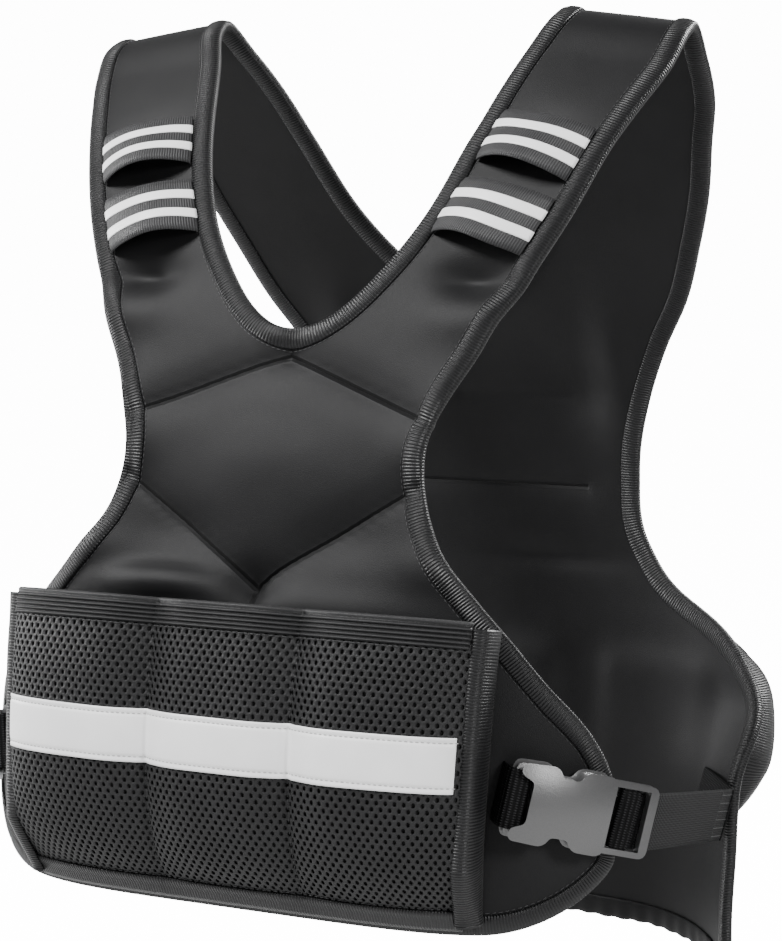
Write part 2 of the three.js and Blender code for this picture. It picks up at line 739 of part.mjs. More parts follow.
// Tape down one side of a pocket, from its top to the hem, lying from the mesh over to the shell.
function pocketSideTape(plan, half, endRun) {
  const ups = pocketRows(plan).reverse();
  const endUp = (endRun - plan.bottom) / (plan.top - plan.bottom);
  if (endUp < 0) ups.push(endUp);
  const outer = [];
  const inner = [];
  for (const up of ups) {
    const run = plan.bottom + (plan.top - plan.bottom) * up;
    const from = pocketHalf(plan, up) + plan.sideGap;
    const point = (offset, height) => onShell(half * (from + offset), run, height);
    const ridge = plan.sideLift(up) + sideTapeWall;
    outer.push([
      point(0, ridge),
      point(sideTapeWidth * 0.5, ridge * 0.82),
      point(sideTapeWidth, plan.sideSeat + sideTapeWall),
    ]);
    inner.push([
      point(0, plan.sideSeat),
      point(sideTapeWidth * 0.5, plan.sideSeat),
      point(sideTapeWidth, plan.sideSeat),
    ]);
  }
  return closedGeometry(gridTriangles(outer, inner));
}

// Tape over the bottom edge of a pocket.
function pocketBottomTape(plan) {
  const ups = pocketUps(plan);
  const columns = pocketColumns().filter((across) => Math.abs(across) <= 1);
  const below = (distance) => -distance / plan.height;
  const outer = [];
  const inner = [];
  columns.forEach((across) => {
    const lift = (up) => pocketLift(plan, across, Math.max(0, up));
    const point = (up, height) => pocketPoint(plan, across, up, height);
    const gap = 0.85;
    outer.push([
      point(ups.tape, lift(ups.tape) + gap + bottomTapeWall),
      point(below(0), lift(0) + gap + bottomTapeWall),
      point(below(gap + bottomTapeWall), lift(0)),
      point(below(gap + bottomTapeWall), plan.seat),
    ]);
    inner.push([
      point(ups.tape, lift(ups.tape) + gap),
      point(below(0), lift(0) + gap),
      point(below(gap), lift(0)),
      point(below(gap), plan.seat),
    ]);
  });
  return closedGeometry(gridTriangles(outer, inner));
}

// What lies near the armhole is trimmed clear of the tape there.
const trimBlocks = [1, -1].map((half) =>
  tapeBlock(sidePath(half), { reach: tapeReach + clearance, wall: tapeWall + clearance }),
);

function trimmed(geometry) {
  const cleared = trimBlocks.reduce((solid, block) => solid.subtract(block), solidOf(geometry));
  return geometryOf(largestBody(cleared));
}

const frontTapeEnd = profile.frontEnd - tapeReach - clearance - 1;
const frontUps = pocketUps(frontPocket);
addPiece('front_pocket_mesh', trimmed(pocketMesh(frontPocket)), airMesh);
addPiece('front_pocket_elastic', bandOnPocket(frontPocket, frontUps.elastic, 1, elasticWall, 0.3), elastic);
addPiece(
  'front_pocket_stripe',
  bandOnPocket(frontPocket, frontUps.stripeBottom, frontUps.stripeTop, stripeWall, 0.3),
  reflective,
);
addPiece('front_pocket_side_binding_left', trimmed(pocketSideTape(frontPocket, 1, frontTapeEnd)), tape);
addPiece('front_pocket_side_binding_right', trimmed(pocketSideTape(frontPocket, -1, frontTapeEnd)), tape);
addPiece('front_pocket_bottom_binding', pocketBottomTape(frontPocket), tape);

const backUps = pocketUps(backPocket);
const backTapeEnd = backPocket.bottom;
addPiece('back_pocket_mesh', trimmed(pocketMesh(backPocket)), airMesh);
addPiece('back_pocket_elastic', bandOnPocket(backPocket, backUps.elastic, 1, elasticWall, 0.3), elastic);
addPiece('back_pocket_side_binding_left', trimmed(pocketSideTape(backPocket, 1, backTapeEnd)), tape);
addPiece('back_pocket_side_binding_right', trimmed(pocketSideTape(backPocket, -1, backTapeEnd)), tape);
addPiece('back_pocket_bottom_binding', pocketBottomTape(backPocket), tape);

// Ends of the cross lines of a loop: steps from the neck tape to the armhole tape, arched over the strap.
function loopLines(half, drop) {
  const centreRun = runAtDrop(1, drop);
  const span = edgeHalf(centreRun) - neckHalf(centreRun);
  const steps = 8;
  const lines = [];
  const edgePoint = (offset, share) => {
    const runIn = centreRun + offset - loopSlant * span * 0.5;
    const runOut = centreRun + offset + loopSlant * span * 0.5;
    const from = neckHalf(runIn) + tapeReach * 1.1 + 3 * clearance;
    const to = edgeHalf(runOut) - tapeReach * 1.1 - 3 * clearance;
    const x = from + (to - from) * share;
    const run = runIn + (runOut - runIn) * share;
    const arch = 0.8 + loopArch * Math.pow(Math.sin(Math.PI * share), 0.8);
    return onShell(half * x, run, arch);
  };
  for (let i = 0; i <= steps; i += 1) {
    const share = i / steps;
    lines.push({ low: edgePoint(-loopWidth / 2, share), high: edgePoint(loopWidth / 2, share) });
  }
  return lines;
}

// Part of a loop between two shares of its width, standing up from the loop's underside by a height.
function loopBand(lines, lowShare, highShare, height, wall) {
  const outer = [];
  const inner = [];
  lines.forEach((line, i) => {
    const before = lines[Math.max(0, i - 1)];
    const after = lines[Math.min(lines.length - 1, i + 1)];
    const across = after.low.clone().add(after.high).sub(before.low).sub(before.high);
    const out = line.high.clone().sub(line.low).cross(across).normalize();
    if (out.y > 0) out.negate();
    const at = (share, lift) => line.low.clone().lerp(line.high, share).addScaledVector(out, lift);
    outer.push([at(lowShare, height + wall), at(highShare, height + wall)]);
    inner.push([at(lowShare, height), at(highShare, height)]);
  });
  return closedGeometry(gridTriangles(outer, inner));
}

const sides = [
  { name: 'left', half: 1 },
  { name: 'right', half: -1 },
];
const loopLevels = [
  { name: 'upper', drop: upperLoopDrop },
  { name: 'lower', drop: lowerLoopDrop },
];
const loopStripes = [
  { name: 'a', centre: 0.31 },
  { name: 'b', centre: 0.68 },
];

for (const side of sides) {
  for (const level of loopLevels) {
    const label = `${level.name}_${side.name}`;
    const lines = loopLines(side.half, level.drop);
    addPiece(`shoulder_loop_${label}`, loopBand(lines, 0, 1, 0, loopWall), elastic);
    for (const stripe of loopStripes) {
      const halfShare = loopStripeWidth / loopWidth / 2;
      const from = stripe.centre - halfShare;
      const to = stripe.centre + halfShare;
      const stripeBand = loopBand(lines, from, to, loopWall + stripeRest, loopStripeWall);
      addPiece(`loop_stripe_${label}_${stripe.name}`, stripeBand, reflective);
    }
  }
}

const buckleCentre = onShell(frontHalfWidth - buckleInset, runAtDrop(1, buckleDrop), buckleRest);

// Frame of a side buckle: along the strap towards the back, up across it, and outwards.
function buckleFrame() {
  const turn = THREE.MathUtils.degToRad(buckleTurn);
  const tilt = THREE.MathUtils.degToRad(buckleTilt);
  const along = new THREE.Vector3(
    Math.cos(turn) * Math.cos(tilt),
    Math.sin(turn) * Math.cos(tilt),
    Math.sin(tilt),
  );
  const out = new THREE.Vector3(Math.sin(turn), -Math.cos(turn), 0);
  const up = out.clone().cross(along).normalize();
  return { along, out, up, matrix: new THREE.Matrix4().makeBasis(along, up, out).setPosition(buckleCentre) };
}

const tiltAngle = THREE.MathUtils.degToRad(buckleTilt);
const buckle = buckleFrame();
const atBuckle = (along, up, out) =>
  buckleCentre
    .clone()
    .addScaledVector(buckle.along, along)
    .addScaledVector(buckle.up, up)
    .addScaledVector(buckle.out, out);

function extruded(shape, depth, base, bevel) {
  const geometry = new THREE.ExtrudeGeometry(shape, {
    depth: depth - 2 * bevel,
    bevelEnabled: bevel > 0,
    bevelThickness: bevel,
    bevelSize: bevel,
    bevelOffset: -bevel,
    bevelSegments: 1,
    curveSegments: 3,
  });
  return geometry.translate(0, 0, base + bevel);
}

function blockAt(x0, x1, y0, y1, z0, z1) {
  return new THREE.BoxGeometry(x1 - x0, y1 - y0, z1 - z0).translate((x0 + x1) / 2, (y0 + y1) / 2, (z0 + z1) / 2);
}

const socketFrom = -socketLength / 2;
const socketTo = socketLength / 2;
const tongueBase = (socketHeight - frameHeight) / 2;

// Socket with a thumb notch in each side, a mouth for the plug and a slot for the webbing.
function socketGeometry() {
  const half = buckleWidth / 2;
  const notchFrom = socketFrom + socketLength * 0.4;
  const notchTo = socketFrom + socketLength * 0.68;
  const notchDepth = 5;
  const outline = new THREE.Shape();
  outline.moveTo(socketFrom + 2, -half + 1);
  outline.lineTo(notchFrom - 2, -half);
  outline.quadraticCurveTo(notchFrom, -half + notchDepth, (notchFrom + notchTo) / 2, -half + notchDepth);
  outline.quadraticCurveTo(notchTo, -half + notchDepth, notchTo + 2, -half);
  outline.lineTo(socketTo - 1.5, -half);
  outline.lineTo(socketTo, -half + 1.5);
  outline.lineTo(socketTo, half - 1.5);
  outline.lineTo(socketTo - 1.5, half);
  outline.lineTo(notchTo + 2, half);
  outline.quadraticCurveTo(notchTo, half - notchDepth, (notchFrom + notchTo) / 2, half - notchDepth);
  outline.quadraticCurveTo(notchFrom, half - notchDepth, notchFrom - 2, half);
  outline.lineTo(socketFrom + 2, half - 1);
  outline.lineTo(socketFrom, half - 3);
  outline.lineTo(socketFrom, -half + 3);
  outline.closePath();
  const inside = half - notchDepth + 0.8;
  const mouth = solidOf(
    blockAt(
      socketTo - prongReach - 1,
      socketTo + 1,
      -inside,
      inside,
      tongueBase - clearance,
      tongueBase + frameHeight + clearance,
    ),
  );
  const slot = solidOf(
    blockAt(
      socketFrom + barWidth,
      socketFrom + barWidth + slotWidth,
      -webbingWidth / 2 - clearance,
      webbingWidth / 2 + clearance,
      -1,
      socketHeight + 1,
    ),
  );
  const step = solidOf(
    blockAt(
      socketFrom - 1,
      socketFrom + barWidth + slotWidth,
      -buckleWidth,
      buckleWidth,
      barHeight,
      socketHeight + 1,
    ),
  );
  const body = solidOf(extruded(outline, socketHeight, 0, 1));
  return geometryOf(body.subtract(mouth).subtract(slot).subtract(step));
}

// Plug: a ladder frame with two slots, and two prongs and a guide that reach into the socket.
function plugGeometry() {
  const half = buckleWidth / 2 - 0.5;
  const start = socketTo + clearance;
  const end = start + frameLength;
  const tip = socketTo - prongReach;
  const prongOut = buckleWidth / 2 - 5;
  const outline = new THREE.Shape();
  outline.moveTo(start, -half);
  outline.lineTo(end - 2, -half);
  outline.lineTo(end, -half + 2);
  outline.lineTo(end, half - 2);
  outline.lineTo(end - 2, half);
  outline.lineTo(start, half);
  outline.lineTo(start, prongOut);
  outline.lineTo(tip + 6, prongOut);
  outline.lineTo(tip, prongOut - 3);
  outline.lineTo(tip, prongOut - 6);
  outline.lineTo(start, prongOut - 5);
  outline.lineTo(start, 1.6);
  outline.lineTo(tip + 4, 1.2);
  outline.lineTo(tip + 4, -1.2);
  outline.lineTo(start, -1.6);
  outline.lineTo(start, -prongOut + 5);
  outline.lineTo(tip, -prongOut + 6);
  outline.lineTo(tip, -prongOut + 3);
  outline.lineTo(tip + 6, -prongOut);
  outline.lineTo(start, -prongOut);
  outline.closePath();
  const slotHalf = webbingWidth / 2 + clearance;
  const slotLength = (frameLength - 3 * barWidth) / 2;
  let body = solidOf(extruded(outline, frameHeight, tongueBase, 0));
  for (let i = 0; i < 2; i += 1) {
    const from = start + barWidth + i * (slotLength + barWidth);
    const past = tongueBase + frameHeight + 1;
    const slot = blockAt(from, from + slotLength, -slotHalf, slotHalf, tongueBase - 1, past);
    body = body.subtract(solidOf(slot));
  }
  return geometryOf(body);
}

// Flat webbing through a list of places, each a point with its outward and across directions.
function ribbon(places) {
  const outer = [];
  const inner = [];
  places.forEach((place) => {
    const low = place.point.clone().addScaledVector(place.across, -webbingWidth / 2);
    const high = place.point.clone().addScaledVector(place.across, webbingWidth / 2);
    const raise = place.out.clone().multiplyScalar(webbingWall / 2);
    outer.push([low.clone().add(raise), high.clone().add(raise)]);
    inner.push([low.clone().sub(raise), high.clone().sub(raise)]);
  });
  return closedGeometry(gridTriangles(outer, inner));
}

// Directions at each place of a path that lies in one plane.
function ribbonPlaces(points, across) {
  return points.map((point, i) => {
    const before = points[Math.max(0, i - 1)];
    const after = points[Math.min(points.length - 1, i + 1)];
    const into = point.clone().sub(before);
    const from = after.clone().sub(point);
    const first = (into.length() > 0 ? into : from).clone().normalize();
    const second = (from.length() > 0 ? from : into).clone().normalize();
    const way = first.clone().add(second).normalize();
    const out = way.cross(across).normalize();
    const stretch = 1 / Math.max(0.6, Math.sqrt((1 + first.dot(second)) / 2));
    return { point, across, out: out.multiplyScalar(stretch) };
  });
}

// Short webbing from the side tape of the pocket, over the bar of the socket and down its slot.
function frontWebbing() {
  const top = barHeight + clearance + webbingWall / 2;
  const slotX = socketFrom + barWidth + slotWidth / 2;
  const slantEnd = (webbingWidth / 2) * Math.sin(-tiltAngle);
  const sewn = pocketHalf(frontPocket, 0.5) + sideTapeWidth + 2 * clearance + slantEnd;
  const sewnRun = runAtDrop(1, buckleDrop - (socketLength / 2) * Math.sin(-tiltAngle));
  const points = [
    onShell(sewn, sewnRun, webbingWall / 2 - clearance),
    atBuckle(socketFrom - 3.4, 0, 1.6),
    atBuckle(socketFrom - 0.8, 0, top),
    atBuckle(slotX - 1, 0, top),
    atBuckle(slotX, 0, top - 1.6),
    atBuckle(slotX, 0, -0.4),
  ];
  return ribbon(ribbonPlaces(points, buckle.up));
}

// Webbing from the back wing to the plug: over the end bar, down a slot, round the middle bar and back.
function backWebbing() {
  const start = socketTo + clearance;
  const slotLength = (frameLength - 3 * barWidth) / 2;
  const nearSlot = start + barWidth + slotLength / 2;
  const farSlot = nearSlot + slotLength + barWidth;
  const over = tongueBase + frameHeight + webbingWall / 2 + clearance;
  const under = tongueBase - webbingWall / 2 - clearance;
  const end = start + frameLength;
  const wing = onShell(edgeHalf(wingRun), wingRun, 0);
  const seat = -shellWall - tapeWall - clearance * 2 - webbingWall;
  const sewn = onShell(edgeHalf(wingRun) - 4, wingRun, seat);
  const sewnFar = onShell(edgeHalf(wingRun) - 26, wingRun, seat);
  const reachOut = atBuckle(end + 4, 0, under);
  const across = wing.clone().sub(reachOut).cross(buckle.out).normalize();
  if (across.z < 0) across.negate();
  const points = [
    atBuckle(start + clearance, 0, over),
    atBuckle(nearSlot - 1, 0, over),
    atBuckle(nearSlot, 0, over - 2),
    atBuckle(nearSlot, 0, under + 2),
    atBuckle(nearSlot + 1, 0, under),
    atBuckle(farSlot, 0, under - 0.4),
    atBuckle(end, 0, under - 0.4),
    reachOut,
    sewn,
    sewnFar,
  ];
  return ribbon(ribbonPlaces(points, across));
}

const wingRun = runAtDrop(-1, backWebbingDrop);

for (const side of sides) {
  const place = (geometry) => sided(geometry.applyMatrix4(buckle.matrix), side.half);
  addPiece(`buckle_socket_${side.name}`, place(socketGeometry()), plastic);
  addPiece(`buckle_plug_${side.name}`, place(plugGeometry()), plastic);
  addPiece(`webbing_front_${side.name}`, sided(frontWebbing(), side.half), webbing);
  addPiece(`webbing_back_${side.name}`, sided(backWebbing(), side.half), webbing);
}

export default group;
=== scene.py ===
import math

import bmesh
import bpy
import numpy as np
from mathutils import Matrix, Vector


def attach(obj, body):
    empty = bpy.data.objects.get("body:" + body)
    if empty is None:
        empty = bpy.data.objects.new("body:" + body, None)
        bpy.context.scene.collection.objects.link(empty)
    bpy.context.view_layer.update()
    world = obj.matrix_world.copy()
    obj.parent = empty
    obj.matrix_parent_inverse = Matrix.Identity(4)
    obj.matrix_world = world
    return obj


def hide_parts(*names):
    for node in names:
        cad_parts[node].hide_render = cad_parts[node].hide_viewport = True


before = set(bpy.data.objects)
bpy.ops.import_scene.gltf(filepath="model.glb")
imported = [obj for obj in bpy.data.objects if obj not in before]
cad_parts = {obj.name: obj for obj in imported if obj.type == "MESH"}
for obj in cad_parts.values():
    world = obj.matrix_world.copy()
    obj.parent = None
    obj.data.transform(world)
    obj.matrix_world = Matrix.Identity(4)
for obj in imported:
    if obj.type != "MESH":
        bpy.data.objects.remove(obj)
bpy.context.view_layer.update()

# The camera. The vest is seen from its wearer's left front, a little from above, from 1.3 m.
# The view's long side is its height.
view_azimuth = math.radians(26)
view_elevation = math.radians(5.9)
view_distance = 1.307
view_target = Vector((0, 0, -0.234))
focal_px = 2426
view_height_px = 941

camera_data = bpy.data.cameras.new("camera")
camera_data.sensor_fit = "AUTO"
camera_data.sensor_width = 36
camera_data.lens = 36 * focal_px / view_height_px
camera = bpy.data.objects.new("camera", camera_data)
bpy.context.scene.collection.objects.link(camera)
view_back = Vector(
    (
        math.sin(view_azimuth) * math.cos(view_elevation),
        -math.cos(view_azimuth) * math.cos(view_elevation),
        math.sin(view_elevation),
    )
)
camera.location = view_target + view_back * view_distance
camera.rotation_mode = "QUATERNION"
camera.rotation_quaternion = (-view_back).to_track_quat("-Z", "Y")
bpy.context.scene.camera = camera

# The floor and the light. A pale floor well below the vest, which hangs as worn, and soft studio lamps:
# a broad one high in front, one at each side for the sheen along the tapes, and one behind.
floor_level = -0.62
floor_half = 9.0
backdrop_glow = 14.0
room_glow = 0.2


def link_object(name, data):
    made = bpy.data.objects.new(name, data)
    bpy.context.scene.collection.objects.link(made)
    return made


class Nodes:
    """A node tree and short ways to add and join its nodes. In a socket's name _ stands for a space."""

    def __init__(self, tree):
        self.tree = tree

    def node(self, kind, settings=None, **inputs):
        made = self.tree.nodes.new(kind)
        for key, value in (settings or {}).items():
            setattr(made, key, value)
        for key, value in inputs.items():
            self.put(value, made.inputs[key.replace("_", " ")])
        return made

    def put(self, value, socket):
        if isinstance(value, bpy.types.NodeSocket):
            self.tree.links.new(value, socket)
        else:
            socket.default_value = value

    def maths(self, operation, *values):
        made = self.node("ShaderNodeMath", {"operation": operation})
        for socket, value in zip(made.inputs, values):
            self.put(value, socket)
        return made.outputs[0]


class Finish(Nodes):
    """A material with its shader and the node shapes that the finishes share."""

    def __init__(self, name):
        self.material = bpy.data.materials.new(name)
        self.material.use_nodes = True
        super().__init__(self.material.node_tree)
        self.shader = self.tree.nodes["Principled BSDF"]

    def range(self, value, low, high, to_low, to_high):
        return self.node(
            "ShaderNodeMapRange", {"clamp": True},
            Value=value, From_Min=low, From_Max=high, To_Min=to_low, To_Max=to_high,
        ).outputs[0]

    def blend_colours(self, share, first, second):
        made = self.node("ShaderNodeMix", {"data_type": "RGBA"})
        self.put(share, made.inputs[0])
        self.put(first, made.inputs[6])
        self.put(second, made.inputs[7])
        return made.outputs[2]

    def uv(self, name):
        flat = self.node("ShaderNodeUVMap", {"uv_map": name}).outputs[0]
        parts = self.node("ShaderNodeSeparateXYZ", Vector=flat)
        return parts.outputs[0], parts.outputs[1]

    def noise(self, scale, detail=3.0, roughness=0.5):
        place = self.node("ShaderNodeTexCoord").outputs["Object"]
        return self.node(
            "ShaderNodeTexNoise", Vector=place, Scale=scale, Detail=detail, Roughness=roughness
        ).outputs["Fac"]

    def ribs(self, length, pitch, phase=0.0):
        """0 to 1 and back once in each pitch, in millimetres, along a length."""
        turns = self.maths("MULTIPLY_ADD", length, 2 * math.pi * 1000 / pitch, phase)
        return self.maths("MULTIPLY_ADD", self.maths("SINE", turns), 0.5, 0.5)

    def bump(self, height, depth, strength=1.0, below=None):
        made = self.node("ShaderNodeBump", Strength=strength, Distance=depth, Height=height)
        if below:
            self.put(below, made.inputs["Normal"])
        return made.outputs[0]

    def surface(self, colour=None, normal=None, **numbers):
        if colour is not None:
            self.put(colour, self.shader.inputs["Base Color"])
        if normal is not None:
            self.put(normal, self.shader.inputs["Normal"])
        for name, value in numbers.items():
            self.put(value, self.shader.inputs[name.replace("_", " ")])
        return self.material


floor_finish = Finish("studio_floor")
seen_directly = floor_finish.node("ShaderNodeLightPath").outputs["Is Camera Ray"]
floor_finish.surface(
    colour=(0.6, 0.6, 0.6, 1),
    Roughness=0.9,
    Emission_Color=(1, 1, 1, 1),
    Emission_Strength=floor_finish.maths("MULTIPLY", seen_directly, backdrop_glow),
)
floor_mesh = bpy.data.meshes.new("floor")
floor_mesh.from_pydata(
    [(x * floor_half, y * floor_half, floor_level) for x, y in ((-1, -1), (1, -1), (1, 1), (-1, 1))],
    [],
    [(0, 1, 2, 3)],
)
floor_mesh.materials.append(floor_finish.material)
link_object("floor", floor_mesh)

world = bpy.data.worlds.new("studio")
bpy.context.scene.world = world
world.use_nodes = True
room = Nodes(world.node_tree)
background = room.tree.nodes["Background"]
background.inputs["Color"].default_value = (1, 1, 1, 1)
seen_directly = room.node("ShaderNodeLightPath").outputs["Is Camera Ray"]
glow = room.node("ShaderNodeMapRange", Value=seen_directly, To_Min=room_glow, To_Max=backdrop_glow)
room.put(glow.outputs[0], background.inputs["Strength"])

for lamp_name, lamp_place, lamp_size, lamp_power in (
    ("lamp_key", (-0.9, -1.1, 1.3), 0.6, 74),
    ("lamp_left", (-1.7, -0.1, 0.1), 0.6, 26),
    ("lamp_right", (1.6, -0.9, 0.5), 0.5, 30),
    ("lamp_back", (0.7, 1.4, 0.7), 0.7, 48),
):
    lamp = bpy.data.lights.new(lamp_name, "AREA")
    lamp.shape = "DISK"
    lamp.size = lamp_size
    lamp.energy = lamp_power
    lamp_object = link_object(lamp_name, lamp)
    lamp_object.location = lamp_place
    lamp_object.rotation_mode = "QUATERNION"
    lamp_object.rotation_quaternion = (view_target - Vector(lamp_place)).to_track_quat("-Z", "Y")

# The cloth body: one sheet of foam-rubber cloth about 4 mm thick, knitted on both faces. Front, straps and
# back are one piece, pressed into seams on the chest and held to the shape of the wearer. Millimetres.
cloth_wall = 4
crest_height = 6
front_drop = 438
front_reach = 165
front_half_width = 171.5
front_bow = 41
front_corner = (52, 33)
back_drop = 506
back_reach = 131
back_half_width = 180
back_bow = 55
back_corner = (14, 14)
bow_span = 165
bow_power = 5
neck_half_width = 100
front_neck_drop = 161
back_neck_drop = 150
shoulder_fall = 9
shoulder_fall_length = 70

# Columns: depth below the crest, reach from it, half width and side curve, as shares of the sizes above.
front_rows = np.array([
    (0.011, 0.065, 0.978, 0.02),
    (0.057, 0.172, 0.957, 0.02),
    (0.1, 0.267, 0.915, 0.03),
    (0.15, 0.37, 0.863, 0.04),
    (0.235, 0.497, 0.781, 0.05),
    (0.3, 0.585, 0.7, 0.08),
    (0.37, 0.673, 0.606, 0.15),
    (0.43, 0.735, 0.525, 0.3),
    (0.495, 0.793, 0.472, 0.5),
    (0.54, 0.83, 0.484, 0.7),
    (0.59, 0.875, 0.542, 0.85),
    (0.645, 0.915, 0.665, 1),
    (0.69, 0.94, 0.773, 1),
    (0.74, 0.965, 0.875, 1),
    (0.79, 0.978, 0.956, 1),
    (0.85, 0.99, 1, 1),
    (0.92, 1, 1, 1),
    (1, 0.985, 1, 1),
])
back_rows = np.array([
    (0.034, 0.145, 0.931, 0.02),
    (0.08, 0.305, 0.915, 0.02),
    (0.126, 0.43, 0.878, 0.03),
    (0.182, 0.56, 0.839, 0.04),
    (0.237, 0.68, 0.783, 0.06),
    (0.294, 0.795, 0.717, 0.1),
    (0.348, 0.885, 0.628, 0.13),
    (0.407, 0.947, 0.561, 0.17),
    (0.49, 0.99, 0.517, 0.25),
    (0.573, 1, 0.55, 0.38),
    (0.622, 0.993, 0.656, 0.5),
    (0.664, 0.98, 0.85, 0.56),
    (0.694, 0.97, 0.936, 0.52),
    (0.727, 0.962, 1, 0.5),
    (0.81, 0.95, 0.978, 0.84),
    (0.88, 0.947, 0.977, 0.92),
    (0.94, 0.955, 0.973, 1),
    (1, 0.97, 0.972, 1),
])
# Columns: depth as a share of the neck's, and the square of the half width as a share of the neck's.
neck_rows = np.array([(0, 1), (0.15, 0.81), (0.4, 0.585), (0.64, 0.384), (0.86, 0.144), (1, 0)])

# Folds and dents. Columns: side (1 front, -1 back), x, depth, half spread across and down, rise, mirrored.
folds = [
    (1, -52, 283, 30, 6.5, 8, False),
    (1, 100, 268, 26, 12, 3, True),
    (1, 108, 62, 22, 12, -3, True),
    (1, 92, 134, 18, 9, -7, True),
    (1, 96, 154, 24, 12, 3, True),
    (1, 50, 258, 30, 14, -3, True),
    (1, 0, 225, 52, 32, 5, False),
    (1, 86, 205, 20, 24, 4, True),
    (1, 40, 292, 60, 10, 3, True),
    (-1, 62, 205, 26, 20, 5, True),
    (-1, 84, 190, 14, 40, -6, True),
    (-1, 42, 300, 40, 8, 4, False),
]


def curve_through(knots, values):
    knots = np.array(knots, float)
    values = np.array(values, float)
    step = np.diff(knots)
    rate = np.diff(values) / step
    inner_slopes = (rate[:-1] * step[1:] + rate[1:] * step[:-1]) / (step[1:] + step[:-1])
    slopes = np.concatenate(([rate[0]], inner_slopes, [rate[-1]]))

    def curve(at):
        at = np.asarray(at, float)
        i = np.clip(np.searchsorted(knots, at, side="right") - 1, 0, len(knots) - 2)
        t = (at - knots[i]) / step[i]
        rise = values[i + 1] - values[i]
        bend_in = slopes[i] * step[i] - rise
        bend_out = rise - slopes[i + 1] * step[i]
        inside = values[i] + rise * t + t * (1 - t) * (bend_in * (1 - t) + bend_out * t)
        below = values[0] + slopes[0] * (at - knots[0])
        above = values[-1] + slopes[-1] * (at - knots[-1])
        return np.where(at < knots[0], below, np.where(at > knots[-1], above, inside))

    return curve


back_sizes = np.array([back_drop, back_reach, back_half_width, back_bow])
front_sizes = np.array([front_drop, front_reach, front_half_width, front_bow])
back_table = (back_rows * back_sizes)[::-1]
front_table = front_rows * front_sizes
crest_row = (back_table[-1] + front_table[0]) / 2
crest_row[:2] = 0
profile_table = np.vstack([back_table, crest_row, front_table])
profile_y = np.concatenate([back_table[:, 1], [0], -front_table[:, 1]])
profile_z = crest_height - profile_table[:, 0]
profile_run = np.concatenate([[0], np.cumsum(np.hypot(np.diff(profile_y), np.diff(profile_z)))])
profile_run -= profile_run[len(back_table)]
run_y = curve_through(profile_run, profile_y)
run_z = curve_through(profile_run, profile_z)
run_edge = curve_through(profile_run, profile_table[:, 2])
run_bow = curve_through(profile_run, profile_table[:, 3])
back_end = profile_run[0]
front_end = profile_run[-1]


def run_at_drop(side, drop):
    near, far = 0, front_end if side > 0 else back_end
    for _ in range(40):
        middle = (near + far) / 2
        if crest_height - run_z(middle) < drop:
            near = middle
        else:
            far = middle
    return (near + far) / 2


neck_square = curve_through(neck_rows[:, 0], neck_rows[:, 1])
front_neck_run = run_at_drop(1, front_neck_drop)
back_neck_run = run_at_drop(-1, back_neck_drop)


def neck_half(run):
    run = np.asarray(run, float)
    share = np.clip((crest_height - run_z(run)) / np.where(run > 0, front_neck_drop, back_neck_drop), 0, 1)
    return np.where(share >= 1, 0, neck_half_width * np.sqrt(np.maximum(0, neck_square(share))))


def edge_half(run):
    run = np.asarray(run, float)
    front = run > 0
    to_hem = np.where(front, front_end - run, run - back_end)
    wide = np.where(front, front_corner[0], back_corner[0])
    high = np.where(front, front_corner[1], back_corner[1])
    into = np.clip(1 - to_hem / high, 0, 1)
    return run_edge(run) - wide * (1 - np.sqrt(1 - into * into))


fold_rows = [
    (sign * x, run_at_drop(side, depth), wide, tall, rise)
    for side, x, depth, wide, tall, rise, mirrored in folds
    for sign in ((1, -1) if mirrored else (1,))
]


def fold_lift(x, run):
    return sum(
        rise * np.exp(-(((x - at_x) / wide) ** 2) - ((run - at_run) / tall) ** 2)
        for at_x, at_run, wide, tall, rise in fold_rows
    )


def cloth_middle(x, run, folded=1):
    """Point of the middle of the cloth, at a distance across and a run down from the crest."""
    x, run = np.broadcast_arrays(np.asarray(x, float), np.asarray(run, float))
    along_y = run_y(run + 0.5) - run_y(run - 0.5)
    along_z = run_z(run + 0.5) - run_z(run - 0.5)
    length = np.hypot(along_y, along_z)
    inset = run_bow(run) * (np.abs(x) / bow_span) ** bow_power - fold_lift(x, run) * folded
    past = np.maximum(0, np.abs(x) / neck_half_width - 1) / (front_half_width / neck_half_width - 1)
    fall = shoulder_fall * past * np.exp(-((run / shoulder_fall_length) ** 2))
    return np.stack(
        [x, run_y(run) - along_z / length * inset, run_z(run) + along_y / length * inset - fall], axis=-1
    )


def unit(vectors):
    return vectors / np.maximum(1e-9, np.linalg.norm(vectors, axis=-1, keepdims=True))


def cloth_normal(x, run, folded=1):
    across = cloth_middle(np.add(x, 0.5), run, folded) - cloth_middle(np.add(x, -0.5), run, folded)
    along = cloth_middle(x, np.add(run, 0.5), folded) - cloth_middle(x, np.add(run, -0.5), folded)
    return unit(np.cross(along, across))


def on_cloth(x, run, height):
    """Point at a height above the outer face of the cloth."""
    lift = np.asarray(cloth_wall / 2 + np.asarray(height, float))[..., None]
    return cloth_middle(x, run) + cloth_normal(x, run) * lift


def mesh_piece(name, points, faces, material, uvs=None, smooth=True):
    """A piece from points in millimetres. uvs gives a flat place in millimetres for each point."""
    mesh = bpy.data.meshes.new(name)
    corners_of = [tuple(int(i) for i in face) for face in faces]
    mesh.from_pydata((np.asarray(points) / 1000).tolist(), [], corners_of)
    mesh.validate()
    if uvs is not None:
        layer = mesh.uv_layers.new(name="flat")
        corners = np.empty(len(mesh.loops), int)
        mesh.loops.foreach_get("vertex_index", corners)
        layer.data.foreach_set("uv", (np.asarray(uvs, float) / 1000)[corners].ravel())
    mesh.polygons.foreach_set("use_smooth", np.full(len(mesh.polygons), smooth))
    mesh.materials.append(material)
    return link_object(name, mesh)


